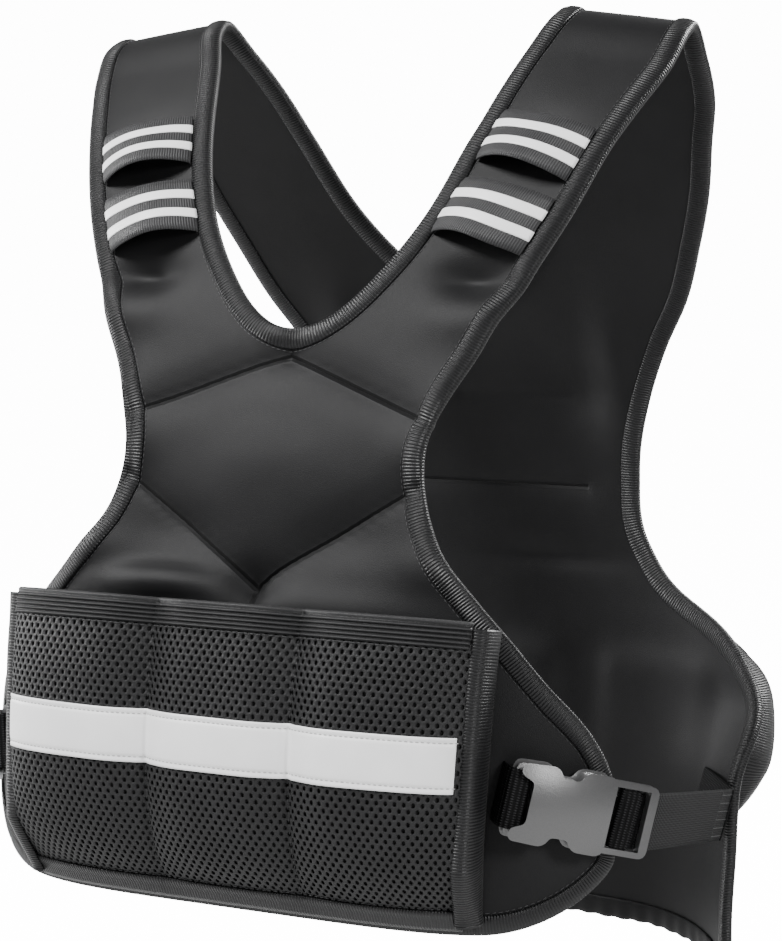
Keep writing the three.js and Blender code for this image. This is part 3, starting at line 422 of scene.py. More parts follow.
def grid_faces(rows, columns, start=0, flip=False, loop_rows=False, loop_columns=False):
    faces = []
    for i in range(rows if loop_rows else rows - 1):
        for j in range(columns if loop_columns else columns - 1):
            a = start + i * columns + j
            b = start + i * columns + (j + 1) % columns
            c = start + ((i + 1) % rows) * columns + (j + 1) % columns
            d = start + ((i + 1) % rows) * columns + j
            faces.append((a, d, c, b) if flip else (a, b, c, d))
    return faces


def outward_faces(piece, joined_within=0):
    """Turns a piece's faces outwards, after joining points that meet."""
    work = bmesh.new()
    work.from_mesh(piece.data)
    if joined_within:
        bmesh.ops.remove_doubles(work, verts=work.verts, dist=joined_within)
    bmesh.ops.recalc_face_normals(work, faces=work.faces)
    work.to_mesh(piece.data)
    work.free()


# Pressed seams of the chest, as pairs of ends. Each end is x and depth below the crest.
chest_corner_high = (75, 200)
chest_corner_low = (73, 236)
chest_tip = (0, 282)
chest_top = (0, 172)
pressed_lines = [
    (chest_top, (chest_corner_high[0] + 8, chest_corner_high[1] + 3)),
    (chest_top, (-chest_corner_high[0] - 8, chest_corner_high[1] + 3)),
    ((chest_corner_low[0] + 10, chest_corner_low[1] - 5), chest_tip),
    ((-chest_corner_low[0] - 10, chest_corner_low[1] - 5), chest_tip),
    (chest_tip, (0, 310)),
]
pressed_runs = [((a[0], run_at_drop(1, a[1])), (b[0], run_at_drop(1, b[1]))) for a, b in pressed_lines]
press_depth = 1.3
press_reach = 2.6
press_wide_depth = 2.2
press_wide_reach = 11
# Seams across the back: ends across, depth below the crest, press.
back_seams = [(-62, 62, 259, 1.8), (-14, 54, 206, 0.8)]
back_seam_rows = [
    ((start, run_at_drop(-1, drop)), (end, run_at_drop(-1, drop)), depth)
    for start, end, drop, depth in back_seams
]
# Where the filled back pocket pushes the cloth in. Columns: middle, half width, rise; then top and bottom.
back_swells = [(0, 48, -6), (112, 36, -5), (-112, 36, -5)]
back_swell_runs = (run_at_drop(-1, 352), run_at_drop(-1, 428))
swell_ease_down = 4.5
swell_ease_across = 3.5


def distance_to_line(x, run, line):
    (ax, ay), (bx, by) = line
    length = (bx - ax) ** 2 + (by - ay) ** 2
    share = np.clip(((x - ax) * (bx - ax) + (run - ay) * (by - ay)) / length, 0, 1)
    return np.hypot(x - ax - share * (bx - ax), run - ay - share * (by - ay))


def cloth_relief(x, run):
    """Small rises and pressed lines of the cloth, in millimetres, which both faces follow."""
    relief = np.zeros(np.broadcast(x, run).shape)
    for line in pressed_runs:
        away = distance_to_line(x, run, line)
        relief -= press_depth * np.exp(-((away / press_reach) ** 2))
        relief -= press_wide_depth * np.exp(-((away / press_wide_reach) ** 2))
    for start, end, depth in back_seam_rows:
        away = distance_to_line(x, run, (start, end))
        relief += depth * np.exp(-((away / press_reach) ** 2))
        relief += depth * np.exp(-((away / press_wide_reach) ** 2))
    top, bottom = back_swell_runs
    down = 1 / (1 + np.exp((np.abs(run - (top + bottom) / 2) - abs(bottom - top) / 2) / swell_ease_down))
    for middle, half, rise in back_swells:
        relief += rise * down / (1 + np.exp((np.abs(x - middle) - half) / swell_ease_across))
    return relief


def front_and_back_runs():
    front_neck = front_neck_run * (1 - np.linspace(1, 0, 70)[:-1] ** 1.6)
    front_body = np.linspace(front_neck_run, front_end - front_corner[1], 78)[:-1]
    front_low = front_end - front_corner[1] * (1 - np.sin(np.linspace(0, np.pi / 2, 18)))
    back_neck = back_neck_run * (1 - np.linspace(1, 0, 66)[:-1] ** 1.6)
    back_body = np.linspace(back_neck_run, back_end + back_corner[1], 100)[:-1]
    back_low = back_end + back_corner[1] * (1 - np.sin(np.linspace(0, np.pi / 2, 9)))
    back = np.concatenate([back_neck, back_body, back_low])
    return np.concatenate([back[::-1][:-1], front_neck, front_body, front_low])


cloth_runs = front_and_back_runs()
cloth_columns = 58


def cloth_body():
    rows = len(cloth_runs)
    share = np.linspace(0, 1, cloth_columns)
    start = neck_half(cloth_runs)[:, None]
    end = edge_half(cloth_runs)[:, None]
    half = start + (end - start) * share[None, :]
    runs = np.broadcast_to(cloth_runs[:, None], half.shape)
    points = []
    uvs = []
    faces = []
    size = rows * cloth_columns
    for sign in (1, -1):
        x = half * sign
        normal = cloth_normal(x, runs)
        middle = cloth_middle(x, runs) + normal * cloth_relief(x, runs)[..., None]
        for face in (1, -1):
            flip = (sign * face) < 0
            faces += grid_faces(rows, cloth_columns, len(points) * size, flip)
            points.append((middle + normal * (face * cloth_wall / 2)).reshape(-1, 3))
            uvs.append(np.stack([x, runs], -1).reshape(-1, 2))
        outer, inner = (len(points) - 2) * size, (len(points) - 1) * size
        rims = [
            [i * cloth_columns + cloth_columns - 1 for i in range(rows)],
            [i * cloth_columns for i in range(rows)],
            list(range(cloth_columns)),
            [(rows - 1) * cloth_columns + j for j in range(cloth_columns)],
        ]
        for number, rim in enumerate(rims):
            for a, b in zip(rim, rim[1:]):
                if number == 1 and half.ravel()[a] == 0 and half.ravel()[b] == 0:
                    continue
                turned = (number in (0, 2)) != (sign < 0)
                quad = (outer + a, outer + b, inner + b, inner + a)
                faces.append(quad[::-1] if turned else quad)
    made = mesh_piece("vest_cloth", np.concatenate(points), faces, cloth_finish(), np.concatenate(uvs))
    outward_faces(made, 1e-6)
    return made


def pressed_share(cloth, u, v, line, reach):
    """1 on a pressed line of the cloth and 0 a reach away from it."""
    (ax, ay), (bx, by) = ((x / 1000, y / 1000) for x, y in line)
    dx, dy = bx - ax, by - ay
    from_x = cloth.maths("SUBTRACT", u, ax)
    from_y = cloth.maths("SUBTRACT", v, ay)
    along = cloth.maths("MULTIPLY_ADD", from_x, dx, cloth.maths("MULTIPLY", from_y, dy))
    share = cloth.range(along, 0, dx * dx + dy * dy, 0, 1)
    off_x = cloth.maths("SUBTRACT", from_x, cloth.maths("MULTIPLY", share, dx))
    off_y = cloth.maths("SUBTRACT", from_y, cloth.maths("MULTIPLY", share, dy))
    square = cloth.maths("MULTIPLY_ADD", off_x, off_x, cloth.maths("MULTIPLY", off_y, off_y))
    return cloth.range(cloth.maths("SQRT", square), 0, reach / 1000, 1, 0)


def cloth_finish():
    """Charcoal knitted face: fine knit grain, slight mottling, soft creases, and sharp pressed seams with
    painted shade along them.
    """
    cloth = Finish("foam_cloth")
    grain = cloth.noise(2600, 2)
    mottle = cloth.noise(28, 4)
    soft = cloth.noise(11, 3, 0.45)
    u, v = cloth.uv("flat")
    pressed_groove_and_shade = 0.0
    for line in pressed_runs + [(start, end) for start, end, _ in back_seam_rows[:1]]:
        pressed_groove_and_shade = cloth.maths("MAXIMUM", pressed_groove_and_shade, pressed_share(cloth, u, v, line, 1.6))
    colour = cloth.blend_colours(
        cloth.range(mottle, 0.3, 0.7, 0, 1), (0.0042, 0.0042, 0.0046, 1), (0.0062, 0.0062, 0.0067, 1)
    )
    # Painted shade: the cloth is darkened along the pressed seams, where shade falls in their grooves.
    colour = cloth.blend_colours(cloth.maths("MULTIPLY", pressed_groove_and_shade, 0.8), colour, (0.0008, 0.0008, 0.0009, 1))
    creased = cloth.bump(soft, 0.005, 0.4)
    pressed_in = cloth.bump(cloth.maths("SUBTRACT", 1.0, pressed_groove_and_shade), 0.0012, 1.0, creased)
    knitted = cloth.bump(grain, 0.0004, 0.35, pressed_in)
    return cloth.surface(
        colour=colour,
        normal=knitted,
        Roughness=cloth.range(grain, 0.3, 0.7, 0.5, 0.62),
        Sheen_Weight=0.04,
        Sheen_Roughness=0.4,
        Specular_IOR_Level=0.2,
    )


def declare(piece, slot, *nodes):
    """Says which body a piece rides on and which nodes it stands for; the slot, what it is made of, is not
    used.
    """
    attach(piece, "root")
    if nodes:
        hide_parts(*nodes)


vest_cloth = cloth_body()
declare(vest_cloth, "foam_cloth", "front_panel", "back_panel")


def flat_area(piece):
    """Half of a closed sheet's faces, in square metres."""
    area = np.empty(len(piece.data.polygons))
    piece.data.polygons.foreach_get("area", area)
    return float(area.sum() / 2)


cloth_area = flat_area(vest_cloth)

# The edge tape: ribbed woven tape folded over every cut edge of the cloth and sewn through with one row of
# dark thread. One closed ring goes round the neck, one length down each side and one along the front hem.
tape_reach = 8.5
tape_rise = 1.2
tape_gap = 0.35
tape_wall = 0.7
tape_step = 1.6
stitches_from_tape = 0.9


def place_inward(x, run, into, reach):
    """The place on the cloth at a distance from an edge, along the way into the cloth."""
    across = cloth_middle(x + 0.5, run) - cloth_middle(x - 0.5, run)
    down = cloth_middle(x, run + 0.5) - cloth_middle(x, run - 0.5)
    crossing = (across * down).sum(-1)
    across_square = (across * across).sum(-1)
    down_square = (down * down).sum(-1)
    want_across = (into * across).sum(-1) * reach
    want_down = (into * down).sum(-1) * reach
    scale = across_square * down_square - crossing * crossing
    return (
        x + (want_across * down_square - want_down * crossing) / scale,
        run + (want_down * across_square - want_across * crossing) / scale,
    )


def inside_cloth(x, run):
    out = np.abs(x)
    return (out < edge_half(run)) & (out > neck_half(run)) & (run > back_end) & (run < front_end)


def way_into_cloth(x, run, closed):
    """Unit way from an edge path into the cloth, at right angles to the edge."""
    middle = cloth_middle(x, run)
    along = np.roll(middle, -1, 0) - np.roll(middle, 1, 0) if closed else np.gradient(middle, axis=0)
    into = unit(np.cross(cloth_normal(x, run), unit(along)))
    at_x, at_run = place_inward(x, run, into, 1.0)
    return into * np.where(inside_cloth(at_x, at_run), 1, -1)[:, None]


def lengths_along(points):
    return np.concatenate([[0], np.cumsum(np.linalg.norm(np.diff(points, axis=0), axis=1))])


def flat_places(lengths, widths):
    """Flat place of each point of a grid, from the lengths along it and the widths across it."""
    lengths, widths = np.broadcast_arrays(np.asarray(lengths)[:, None], np.asarray(widths)[None, :])
    return np.stack([lengths, widths], -1).reshape(-1, 2)


def even_path(x, run, pitch, closed=False):
    """The same path with its places a pitch apart, so that ribs and stitches are even."""
    if closed:
        x, run = np.append(x, x[0]), np.append(run, run[0])
    length = lengths_along(cloth_middle(x, run))
    count = max(4, int(round(length[-1] / pitch)))
    wanted = np.linspace(0, length[-1], count + 1)
    if closed:
        wanted = wanted[:-1]
    return np.interp(wanted, length, x), np.interp(wanted, length, run), wanted


def smooth_vectors(vectors, closed, times=6):
    for _ in range(times):
        if closed:
            vectors = vectors + np.roll(vectors, 1, 0) + np.roll(vectors, -1, 0)
        else:
            padded = np.concatenate([vectors[:1], vectors, vectors[-1:]])
            vectors = padded[:-2] + vectors + padded[2:]
        vectors = unit(vectors)
    return vectors


def folded_tape(name, x, run, finish, closed=False, reach=tape_reach, wave=None):
    """Tape folded over an edge path, and the places of the stitches beside it."""
    x, run, length = even_path(x, run, tape_step, closed)
    into = smooth_vectors(way_into_cloth(x, run, closed), closed)
    swell = np.zeros(len(x)) if wave is None else wave(length)
    shares = np.array([1, 0.985, 0.9, 0.7, 0.45, 0.2, 0.05])
    heights = np.array([0.15, 0.65, 0.95, 1.25, 1.3, 1.15, 0.8]) * tape_rise
    rows = []
    flat = []

    def face_point(share, height, face):
        at_x, at_run = place_inward(x, run, into, reach * share)
        lift = face * (cloth_wall / 2 + height + swell * (1 - share * 0.6))
        normal = cloth_normal(at_x, at_run)
        relief = cloth_relief(at_x, at_run)
        return cloth_middle(at_x, at_run) + normal * (lift + relief)[:, None]

    edge = cloth_middle(x, run)
    normal = cloth_normal(x, run)
    for share, height in zip(shares, heights):
        rows.append(face_point(share, height, 1))
        flat.append(reach * (1 - share))
    for turn in np.radians([60, 30, 0, -30, -60]):
        out = (tape_gap + tape_wall + 0.9 + swell) * np.cos(turn)
        rise = (cloth_wall / 2 + 0.8 * tape_rise + swell) * np.sin(turn)
        rows.append(edge - into * out[:, None] + normal * rise[:, None])
        flat.append(reach + 2 * (1 - turn))
    for share, height in list(zip(shares, heights))[::-1]:
        rows.append(face_point(share, height, -1))
        flat.append(2 * reach + 4 - reach * (1 - share))
    for share in (0.9, 0.3):
        rows.append(face_point(share, -0.6, -1))
        flat.append(2 * reach + 5)
    for share in (0.3, 0.9):
        rows.append(face_point(share, -0.6, 1))
        flat.append(0)
    points = np.stack(rows, axis=1)
    around = len(rows)
    faces = grid_faces(len(x), around, loop_rows=closed, loop_columns=True)
    if not closed:
        faces += [tuple(range(around))[::-1], tuple((len(x) - 1) * around + j for j in range(around))]
    made = mesh_piece(name, points.reshape(-1, 3), faces, finish, flat_places(length, flat))
    outward_faces(made)
    stitch_x, stitch_run = place_inward(x, run, into, reach + stitches_from_tape)
    return made, on_cloth(stitch_x, stitch_run, 0.1 + cloth_relief(stitch_x, stitch_run))


def ribbed_finish(name, dark, rib_highlight, pitch, depth, roughness, lengthwise=False):
    """Woven tape with fine ribs across its length, or along it, with a painted highlight on the top of each
    rib.
    """
    ribbed = Finish(name)
    length, width = ribbed.uv("flat")
    rib = ribbed.ribs(width if lengthwise else length, pitch, -math.pi / 2)
    thread = ribbed.noise(1500, 2)
    worn = ribbed.noise(60, 3)
    share = ribbed.maths("MULTIPLY", rib, ribbed.range(worn, 0.25, 0.75, 0.6, 1))
    height = ribbed.maths("ADD", rib, ribbed.maths("MULTIPLY", thread, 0.5))
    return ribbed.surface(
        # Painted highlight: the paler colour is painted on the top of each rib, its strength varied in
        # random patches.
        colour=ribbed.blend_colours(share, dark, rib_highlight),
        normal=ribbed.bump(height, depth, 0.8),
        Roughness=roughness,
        Sheen_Weight=0.04,
        Sheen_Roughness=0.4,
        Specular_IOR_Level=0.3,
    )


# The tape's own dark colour, and the painted highlight on its rib tops.
tape_finish = ribbed_finish(
    "edge_tape", (0.0022, 0.0022, 0.0024, 1), (0.014, 0.014, 0.015, 1),
    pitch=1.5, depth=0.0004, roughness=0.4,
)


def edge_runs(side):
    return cloth_runs[cloth_runs >= 0] if side > 0 else cloth_runs[cloth_runs <= 0][::-1]


front_neck_runs = np.concatenate([edge_runs(1)[edge_runs(1) < front_neck_run], [front_neck_run]])
back_neck_runs = np.concatenate([edge_runs(-1)[edge_runs(-1) > back_neck_run], [back_neck_run]])
neck_x = np.concatenate([
    neck_half(front_neck_runs), -neck_half(front_neck_runs[:-1])[::-1],
    -neck_half(back_neck_runs)[1:], neck_half(back_neck_runs[:-1])[::-1][:-1],
])
neck_run = np.concatenate([
    front_neck_runs, front_neck_runs[:-1][::-1], back_neck_runs[1:], back_neck_runs[:-1][::-1][:-1],
])
side_run = np.concatenate([edge_runs(1)[::-1], edge_runs(-1)[1:]])
hem_end = float(edge_half(front_end))
hem_x = np.linspace(-hem_end, hem_end, 120)
tape_rows = [
    ("neck_tape", "neck_binding", neck_x, neck_run, True),
    ("side_tape_left", "side_binding_left", edge_half(side_run), side_run, False),
    ("side_tape_right", "side_binding_right", -edge_half(side_run), side_run, False),
    ("front_hem_tape", "front_hem_binding", hem_x, np.full(120, front_end), False),
]
stitch_paths = []
for name, node, x, run, closed in tape_rows:
    tape, stitches = folded_tape(name, x, run, tape_finish, closed)
    declare(tape, "edge_tape", node)
    stitch_paths.append((stitches, closed))

# The stitches. Each row of thread is drawn along its path, and short rounded stitches are set along it.
stitch_pitch = 3.1
stitch_length = 2.2
stitch_thickness = 0.42


def shape_nodes(name, sockets):
    """A tree for a modifier, with its named inputs and what they give."""
    tree = bpy.data.node_groups.new(name, "GeometryNodeTree")
    tree.is_modifier = True
    for socket, kind in {"Geometry": "Geometry", **sockets}.items():
        tree.interface.new_socket(socket, in_out="INPUT", socket_type="NodeSocket" + kind)
    tree.interface.new_socket("Geometry", in_out="OUTPUT", socket_type="NodeSocketGeometry")
    nodes = Nodes(tree)
    return nodes, nodes.node("NodeGroupInput").outputs


def painted(nodes, shape, material):
    """Ends a tree with its material."""
    paint = nodes.node("GeometryNodeSetMaterial", Geometry=shape, Material=material)
    nodes.node("NodeGroupOutput", Geometry=paint.outputs[0])
    return nodes.tree


def stitch_nodes():
    nodes, given = shape_nodes(
        "stitch_row", {"Pitch": "Float", "Length": "Float", "Thickness": "Float", "Thread": "Material"}
    )
    spaced = nodes.node(
        "GeometryNodeResampleCurve", {"mode": "LENGTH"}, Curve=given["Geometry"], Length=given["Pitch"]
    )
    ball = nodes.node("GeometryNodeMeshUVSphere", Segments=6, Rings=4, Radius=0.5)
    size = nodes.node("ShaderNodeCombineXYZ", X=given["Thickness"], Y=given["Thickness"], Z=given["Length"])
    stitch = nodes.node("GeometryNodeTransform", Geometry=ball.outputs["Mesh"], Scale=size.outputs[0])
    tangent = nodes.node("GeometryNodeInputTangent").outputs[0]
    turn = nodes.node("FunctionNodeAlignRotationToVector", {"axis": "Z"}, Vector=tangent)
    placed = nodes.node(
        "GeometryNodeInstanceOnPoints",
        Points=spaced.outputs[0], Instance=stitch.outputs[0], Rotation=turn.outputs[0],
    )
    real = nodes.node("GeometryNodeRealizeInstances", Geometry=placed.outputs[0])
    return painted(nodes, real.outputs[0], given["Thread"])


def set_inputs(modifier, values):
    for socket in modifier.node_group.interface.items_tree:
        if socket.item_type == "SOCKET" and socket.in_out == "INPUT" and socket.name in values:
            modifier[socket.identifier] = values[socket.name]


def made_by_nodes(name, data, tree, values):
    """Turns what a node tree makes from some data into a plain mesh piece."""
    source = link_object(name + "_source", data)
    modifier = source.modifiers.new("nodes", "NODES")
    modifier.node_group = tree
    set_inputs(modifier, values)
    graph = bpy.context.evaluated_depsgraph_get()
    mesh = bpy.data.meshes.new_from_object(source.evaluated_get(graph))
    bpy.data.objects.remove(source)
    mesh.name = name
    return link_object(name, mesh)


def path_curve(name, paths):
    curve = bpy.data.curves.new(name, "CURVE")
    curve.dimensions = "3D"
    for points, closed in paths:
        spline = curve.splines.new("POLY")
        spline.points.add(len(points) - 1)
        flat = np.concatenate([np.asarray(points) / 1000, np.ones((len(points), 1))], axis=1)
        spline.points.foreach_set("co", flat.ravel())
        spline.use_cyclic_u = closed
    return curve


def thread_finish(name, colour):
    thread = Finish(name)
    twist = thread.noise(900, 2)
    return thread.surface(
        colour=thread.blend_colours(twist, colour, tuple(0.6 * c for c in colour[:3]) + (1,)),
        normal=thread.bump(twist, 0.0003, 0.5),
        Roughness=0.6,
        Sheen_Weight=0.1,
    )


def stitched(
    name, paths, thread, slot, pitch=stitch_pitch, length=stitch_length, thickness=stitch_thickness
):
    """Stitches along paths of points, each given with whether it is closed."""
    values = {"Pitch": pitch / 1000, "Length": length / 1000, "Thickness": thickness / 1000}
    made = made_by_nodes(
        name, path_curve(name + "_path", paths), stitch_tree, {**values, "Thread": thread}
    )
    made.data.polygons.foreach_set("use_smooth", np.full(len(made.data.polygons), True))
    declare(made, slot)


stitch_tree = stitch_nodes()
dark_thread = thread_finish("dark_thread", (0.04, 0.04, 0.042, 1))
# The thread is white; its mid grey is painted shade, standing in for the shade around the stitches.
white_thread = thread_finish("white_thread", (0.5, 0.5, 0.5, 1))
stitched("tape_stitches", stitch_paths, dark_thread, "edge_tape")

# The weight pockets: a row of three open-topped pockets of thick knitted mesh in front, and a wider one
# behind. Each has an elastic top, seams between the pockets, and tape over its sides and bottom.
pocket_half_width = 118.5
pocket_taper = 4
pocket_seat = 0.95
pocket_depth = 33
pocket_side_lift = 21
pocket_hang = 5
pocket_hang_seat = 2.3
pocket_bottom_lift = 5
pocket_seam_dip = 6
pocket_seam_reach = 0.11
pocket_crease = 2.4
pocket_crease_reach = 0.022
front_pocket_top = 294
front_pocket_height = 133
back_pocket_top = 322
back_pocket_height = 112
back_pocket_half_width = 162
back_pocket_side_lift = 28
back_pocket_seat = 2.4
pocket_corner_ease = 9
elastic_height = 10.5
elastic_ribs = 5
side_tape_width = 8
bottom_tape_width = 6.5
stripe_width = 25
stripe_below_top = 48
seam_shares = (-1 / 3, 1 / 3)


class Pocket:
    """Three pockets in a row. A place on them is a share across, -1 to 1, and a share up, 0 to 1."""

    def __init__(self, side, top_drop, height, half_width, seat, side_lift, label):
        self.side, self.label = side, label
        self.height, self.half_width, self.seat = height, half_width, seat
        self.top = run_at_drop(side, top_drop)
        self.bottom = self.top + side * height
        self.side_lift = side_lift

    def run(self, up):
        up = np.asarray(up, float)
        hang = pocket_hang * np.clip(1 - up, 0, 1) ** 3 if self.side > 0 else 0
        return self.bottom + (self.top - self.bottom) * up + hang

    def half(self, up):
        up = np.maximum(0, np.asarray(up, float))
        half = self.half_width - pocket_taper * (1 - up)
        if self.side > 0:
            return half
        room = edge_half(self.run(up)) - tape_reach - side_tape_width - 3.5
        return (half + room - np.hypot(half - room, pocket_corner_ease)) / 2

    def lift(self, across, up):
        across, up = np.broadcast_arrays(np.asarray(across, float), np.clip(np.asarray(up, float), 0, 1))
        rounded = np.sqrt(np.maximum(0, 1 - np.abs(across) ** 6))
        filled = 1 - np.maximum(0, 1 - up / 0.5) ** 2.2
        drawn_in = 1 - 0.14 * np.maximum(0, (up - 0.5) / 0.5) ** 2
        seam_at = np.min([np.abs(across - seam) for seam in seam_shares], axis=0)
        valley = pocket_seam_dip * np.exp(-((seam_at / pocket_seam_reach) ** 2))
        crease = pocket_crease * np.exp(-((seam_at / pocket_crease_reach) ** 2))
        dip = (valley + crease) * filled
        crown = (pocket_depth - pocket_bottom_lift) * filled * drawn_in
        side = pocket_bottom_lift + (self.side_lift(up) - pocket_bottom_lift) * np.minimum(1, up / 0.2)
        bag = 0.9 * np.sin(7.1 * across + 2.3) * np.sin(5.3 * up + 0.8 + 1.7 * across) * rounded * filled
        return side + (crown + pocket_bottom_lift - side) * rounded - dip * rounded + bag

    def point(self, across, up, height):
        """Place at a height above the cloth. High up, the folds of the cloth below no longer show."""
        across, up, height = np.broadcast_arrays(across, up, height)
        x, run = across * self.half(up), self.run(up)
        lift = (cloth_wall / 2 + height)[..., None]
        seated = cloth_middle(x, run) + cloth_normal(x, run) * lift
        level = cloth_middle(x, run, 0) + cloth_normal(x, run, 0) * lift
        return seated + (level - seated) * np.clip(height / 12, 0, 1)[..., None]


def back_side_lift(up):
    bulge = np.sin(np.pi * np.clip(up, 0, 1) ** 0.75)
    return pocket_bottom_lift + (back_pocket_side_lift - pocket_bottom_lift) * bulge


def front_side_lift(up):
    return pocket_side_lift + 0 * up


front_pocket = Pocket(
    1, front_pocket_top, front_pocket_height, pocket_half_width, pocket_seat, front_side_lift, "front"
)
back_pocket = Pocket(
    -1, back_pocket_top, back_pocket_height, back_pocket_half_width, back_pocket_seat,
    back_side_lift, "back",
)
cell_width = 4.4
cell_row = 3.1
cell_high = 2.05
hole_width = 1.75
hole_height = 2.6
mesh_thickness = 1.3
lining_wall = 0.9


def mesh_cell():
    """One cell of the knitted mesh, flat: a six-sided tile with a hole, its strands rounded."""
    outline = [
        (0, cell_high), (cell_width / 2, cell_row - cell_high), (cell_width / 2, cell_high - cell_row),
        (0, -cell_high), (-cell_width / 2, cell_high - cell_row), (-cell_width / 2, cell_row - cell_high),
    ]
    hole = [
        (0, hole_height / 2), (hole_width / 2, hole_height / 4), (hole_width / 2, -hole_height / 4),
        (0, -hole_height / 2), (-hole_width / 2, -hole_height / 4), (-hole_width / 2, hole_height / 4),
    ]
    rings = [
        [(x, y, 0.12) for x, y in outline],
        [(x * 1.18, y * 1.18, 0) for x, y in hole],
        [(x, y, -0.4) for x, y in hole],
        [(x, y, -mesh_thickness) for x, y in hole],
    ]
    mesh = bpy.data.meshes.new("mesh_cell")
    faces = grid_faces(len(rings), len(outline), loop_columns=True)
    mesh.from_pydata([place for ring in rings for place in ring], [], faces)
    return mesh


def cell_nodes():
    """Sets cells in rows, every second row moved half a cell along."""
    nodes, given = shape_nodes(
        "mesh_cells",
        {"Columns": "Int", "Rows": "Int", "Cell width": "Float", "Row height": "Float", "Knit": "Material"},
    )
    maths, width, height = nodes.maths, given["Cell width"], given["Row height"]
    spans = maths("SUBTRACT", given["Rows"], 1)
    grid = nodes.node(
        "GeometryNodeMeshGrid",
        Vertices_X=given["Columns"],
        Size_X=maths("MULTIPLY", maths("SUBTRACT", given["Columns"], 1), width),
        Vertices_Y=given["Rows"],
        Size_Y=maths("MULTIPLY", spans, height),
    )
    place = nodes.node("ShaderNodeSeparateXYZ", Vector=nodes.node("GeometryNodeInputPosition").outputs[0])
    row = maths("ADD", maths("DIVIDE", place.outputs["Y"], height), maths("MULTIPLY", spans, 0.5))
    odd = maths("MODULO", maths("ROUND", row), 2)
    shift = nodes.node("ShaderNodeCombineXYZ", X=maths("MULTIPLY", odd, maths("MULTIPLY", width, 0.5)))
    moved = nodes.node("GeometryNodeSetPosition", Geometry=grid.outputs["Mesh"], Offset=shift.outputs[0])
    placed = nodes.node("GeometryNodeInstanceOnPoints", Points=moved.outputs[0], Instance=given["Geometry"])
    real = nodes.node("GeometryNodeRealizeInstances", Geometry=placed.outputs[0])
    merged = nodes.node("GeometryNodeMergeByDistance", Geometry=real.outputs[0], Distance=0.01)
    return painted(nodes, merged.outputs[0], given["Knit"])


def knit_finish():
    knit = Finish("air_mesh")
    yarn = knit.noise(1800, 3)
    patch = knit.noise(45, 3)
    colour = knit.blend_colours(
        knit.range(patch, 0.3, 0.7, 0, 1), (0.008, 0.008, 0.0085, 1), (0.0125, 0.0125, 0.0132, 1)
    )
    return knit.surface(
        colour=colour,
        normal=knit.bump(yarn, 0.0005, 0.7),
        Roughness=0.5,
        Sheen_Weight=0.04,
        Specular_IOR_Level=0.3,
    )


def lining_finish():
    lining = Finish("pocket_lining")
    weave = lining.noise(1400, 2)
    return lining.surface(
        colour=lining.blend_colours(weave, (0.001, 0.001, 0.001, 1), (0.003, 0.003, 0.0032, 1)),
        normal=lining.bump(weave, 0.0004, 0.6),
        Roughness=0.9,
    )


cell_tree = cell_nodes()
knit = knit_finish()
lining = lining_finish()


def perforated_front(pocket):
    """The knit of a pocket: rows of cells bent over its front."""
    across_samples = np.linspace(-1, 1, 401)
    s_at = lengths_along(pocket.point(across_samples, 0.55, pocket.lift(across_samples, 0.55)))
    up_samples = np.linspace(0, 1, 201)
    t_at = lengths_along(pocket.point(0.12, up_samples, pocket.lift(0.12, up_samples)))
    columns = int(math.ceil(s_at[-1] / cell_width)) + 1
    rows = int(math.ceil(t_at[-1] / cell_row)) + 2
    made = made_by_nodes(
        f"{pocket.label}_pocket_knit", mesh_cell(), cell_tree,
        {"Columns": columns, "Rows": rows, "Cell width": cell_width, "Row height": cell_row, "Knit": knit},
    )
    flat = np.empty(len(made.data.vertices) * 3)
    made.data.vertices.foreach_get("co", flat)
    flat = flat.reshape(-1, 3)
    s = np.clip(flat[:, 0] + s_at[-1] / 2 - cell_width / 4, 0, s_at[-1])
    t = np.clip(flat[:, 1] + t_at[-1] / 2, 0, t_at[-1])
    across = np.interp(s, s_at, across_samples)
    up = np.interp(t, t_at, up_samples)
    places = pocket.point(across, up, pocket.lift(across, up) + flat[:, 2])
    made.data.vertices.foreach_set("co", (places / 1000).ravel())
    work = bmesh.new()
    work.from_mesh(made.data)
    bmesh.ops.remove_doubles(work, verts=work.verts, dist=2e-5)
    bmesh.ops.dissolve_degenerate(work, edges=work.edges, dist=1e-5)
    for face in work.faces:
        face.smooth = True
    work.normal_update()
    centre = Vector((0, 0, view_target.z))
    facing = sum(
        face.normal.dot(face.calc_center_median() - centre) * face.calc_area() for face in work.faces
    )
    if facing < 0:
        bmesh.ops.reverse_faces(work, faces=work.faces)
    work.to_mesh(made.data)
    work.free()
    return made


def swept(name, sections, material, uvs=None):
    """A closed body from a list of rings of points, one ring at each step along it."""
    sections = np.asarray(sections)
    steps, around = sections.shape[:2]
    faces = grid_faces(steps, around, loop_columns=True)
    faces += [tuple(range(around))[::-1], tuple((steps - 1) * around + j for j in range(around))]
    made = mesh_piece(name, sections.reshape(-1, 3), faces, material, uvs)
    outward_faces(made)
    return made


def sheet_between(name, outer, inner, material):
    """A closed thin sheet between two grids of points."""
    rows, columns = outer.shape[:2]
    size = rows * columns
    faces = grid_faces(rows, columns) + grid_faces(rows, columns, size, flip=True)
    rim = list(range(columns)) + [i * columns + columns - 1 for i in range(1, rows)]
    rim += [(rows - 1) * columns + j for j in range(columns - 2, -1, -1)]
    rim += [i * columns for i in range(rows - 2, 0, -1)]
    faces += [(a, a + size, b + size, b) for a, b in zip(rim, rim[1:] + rim[:1])]
    points = np.concatenate([outer.reshape(-1, 3), inner.reshape(-1, 3)])
    made = mesh_piece(name, points, faces, material)
    outward_faces(made)
    return made


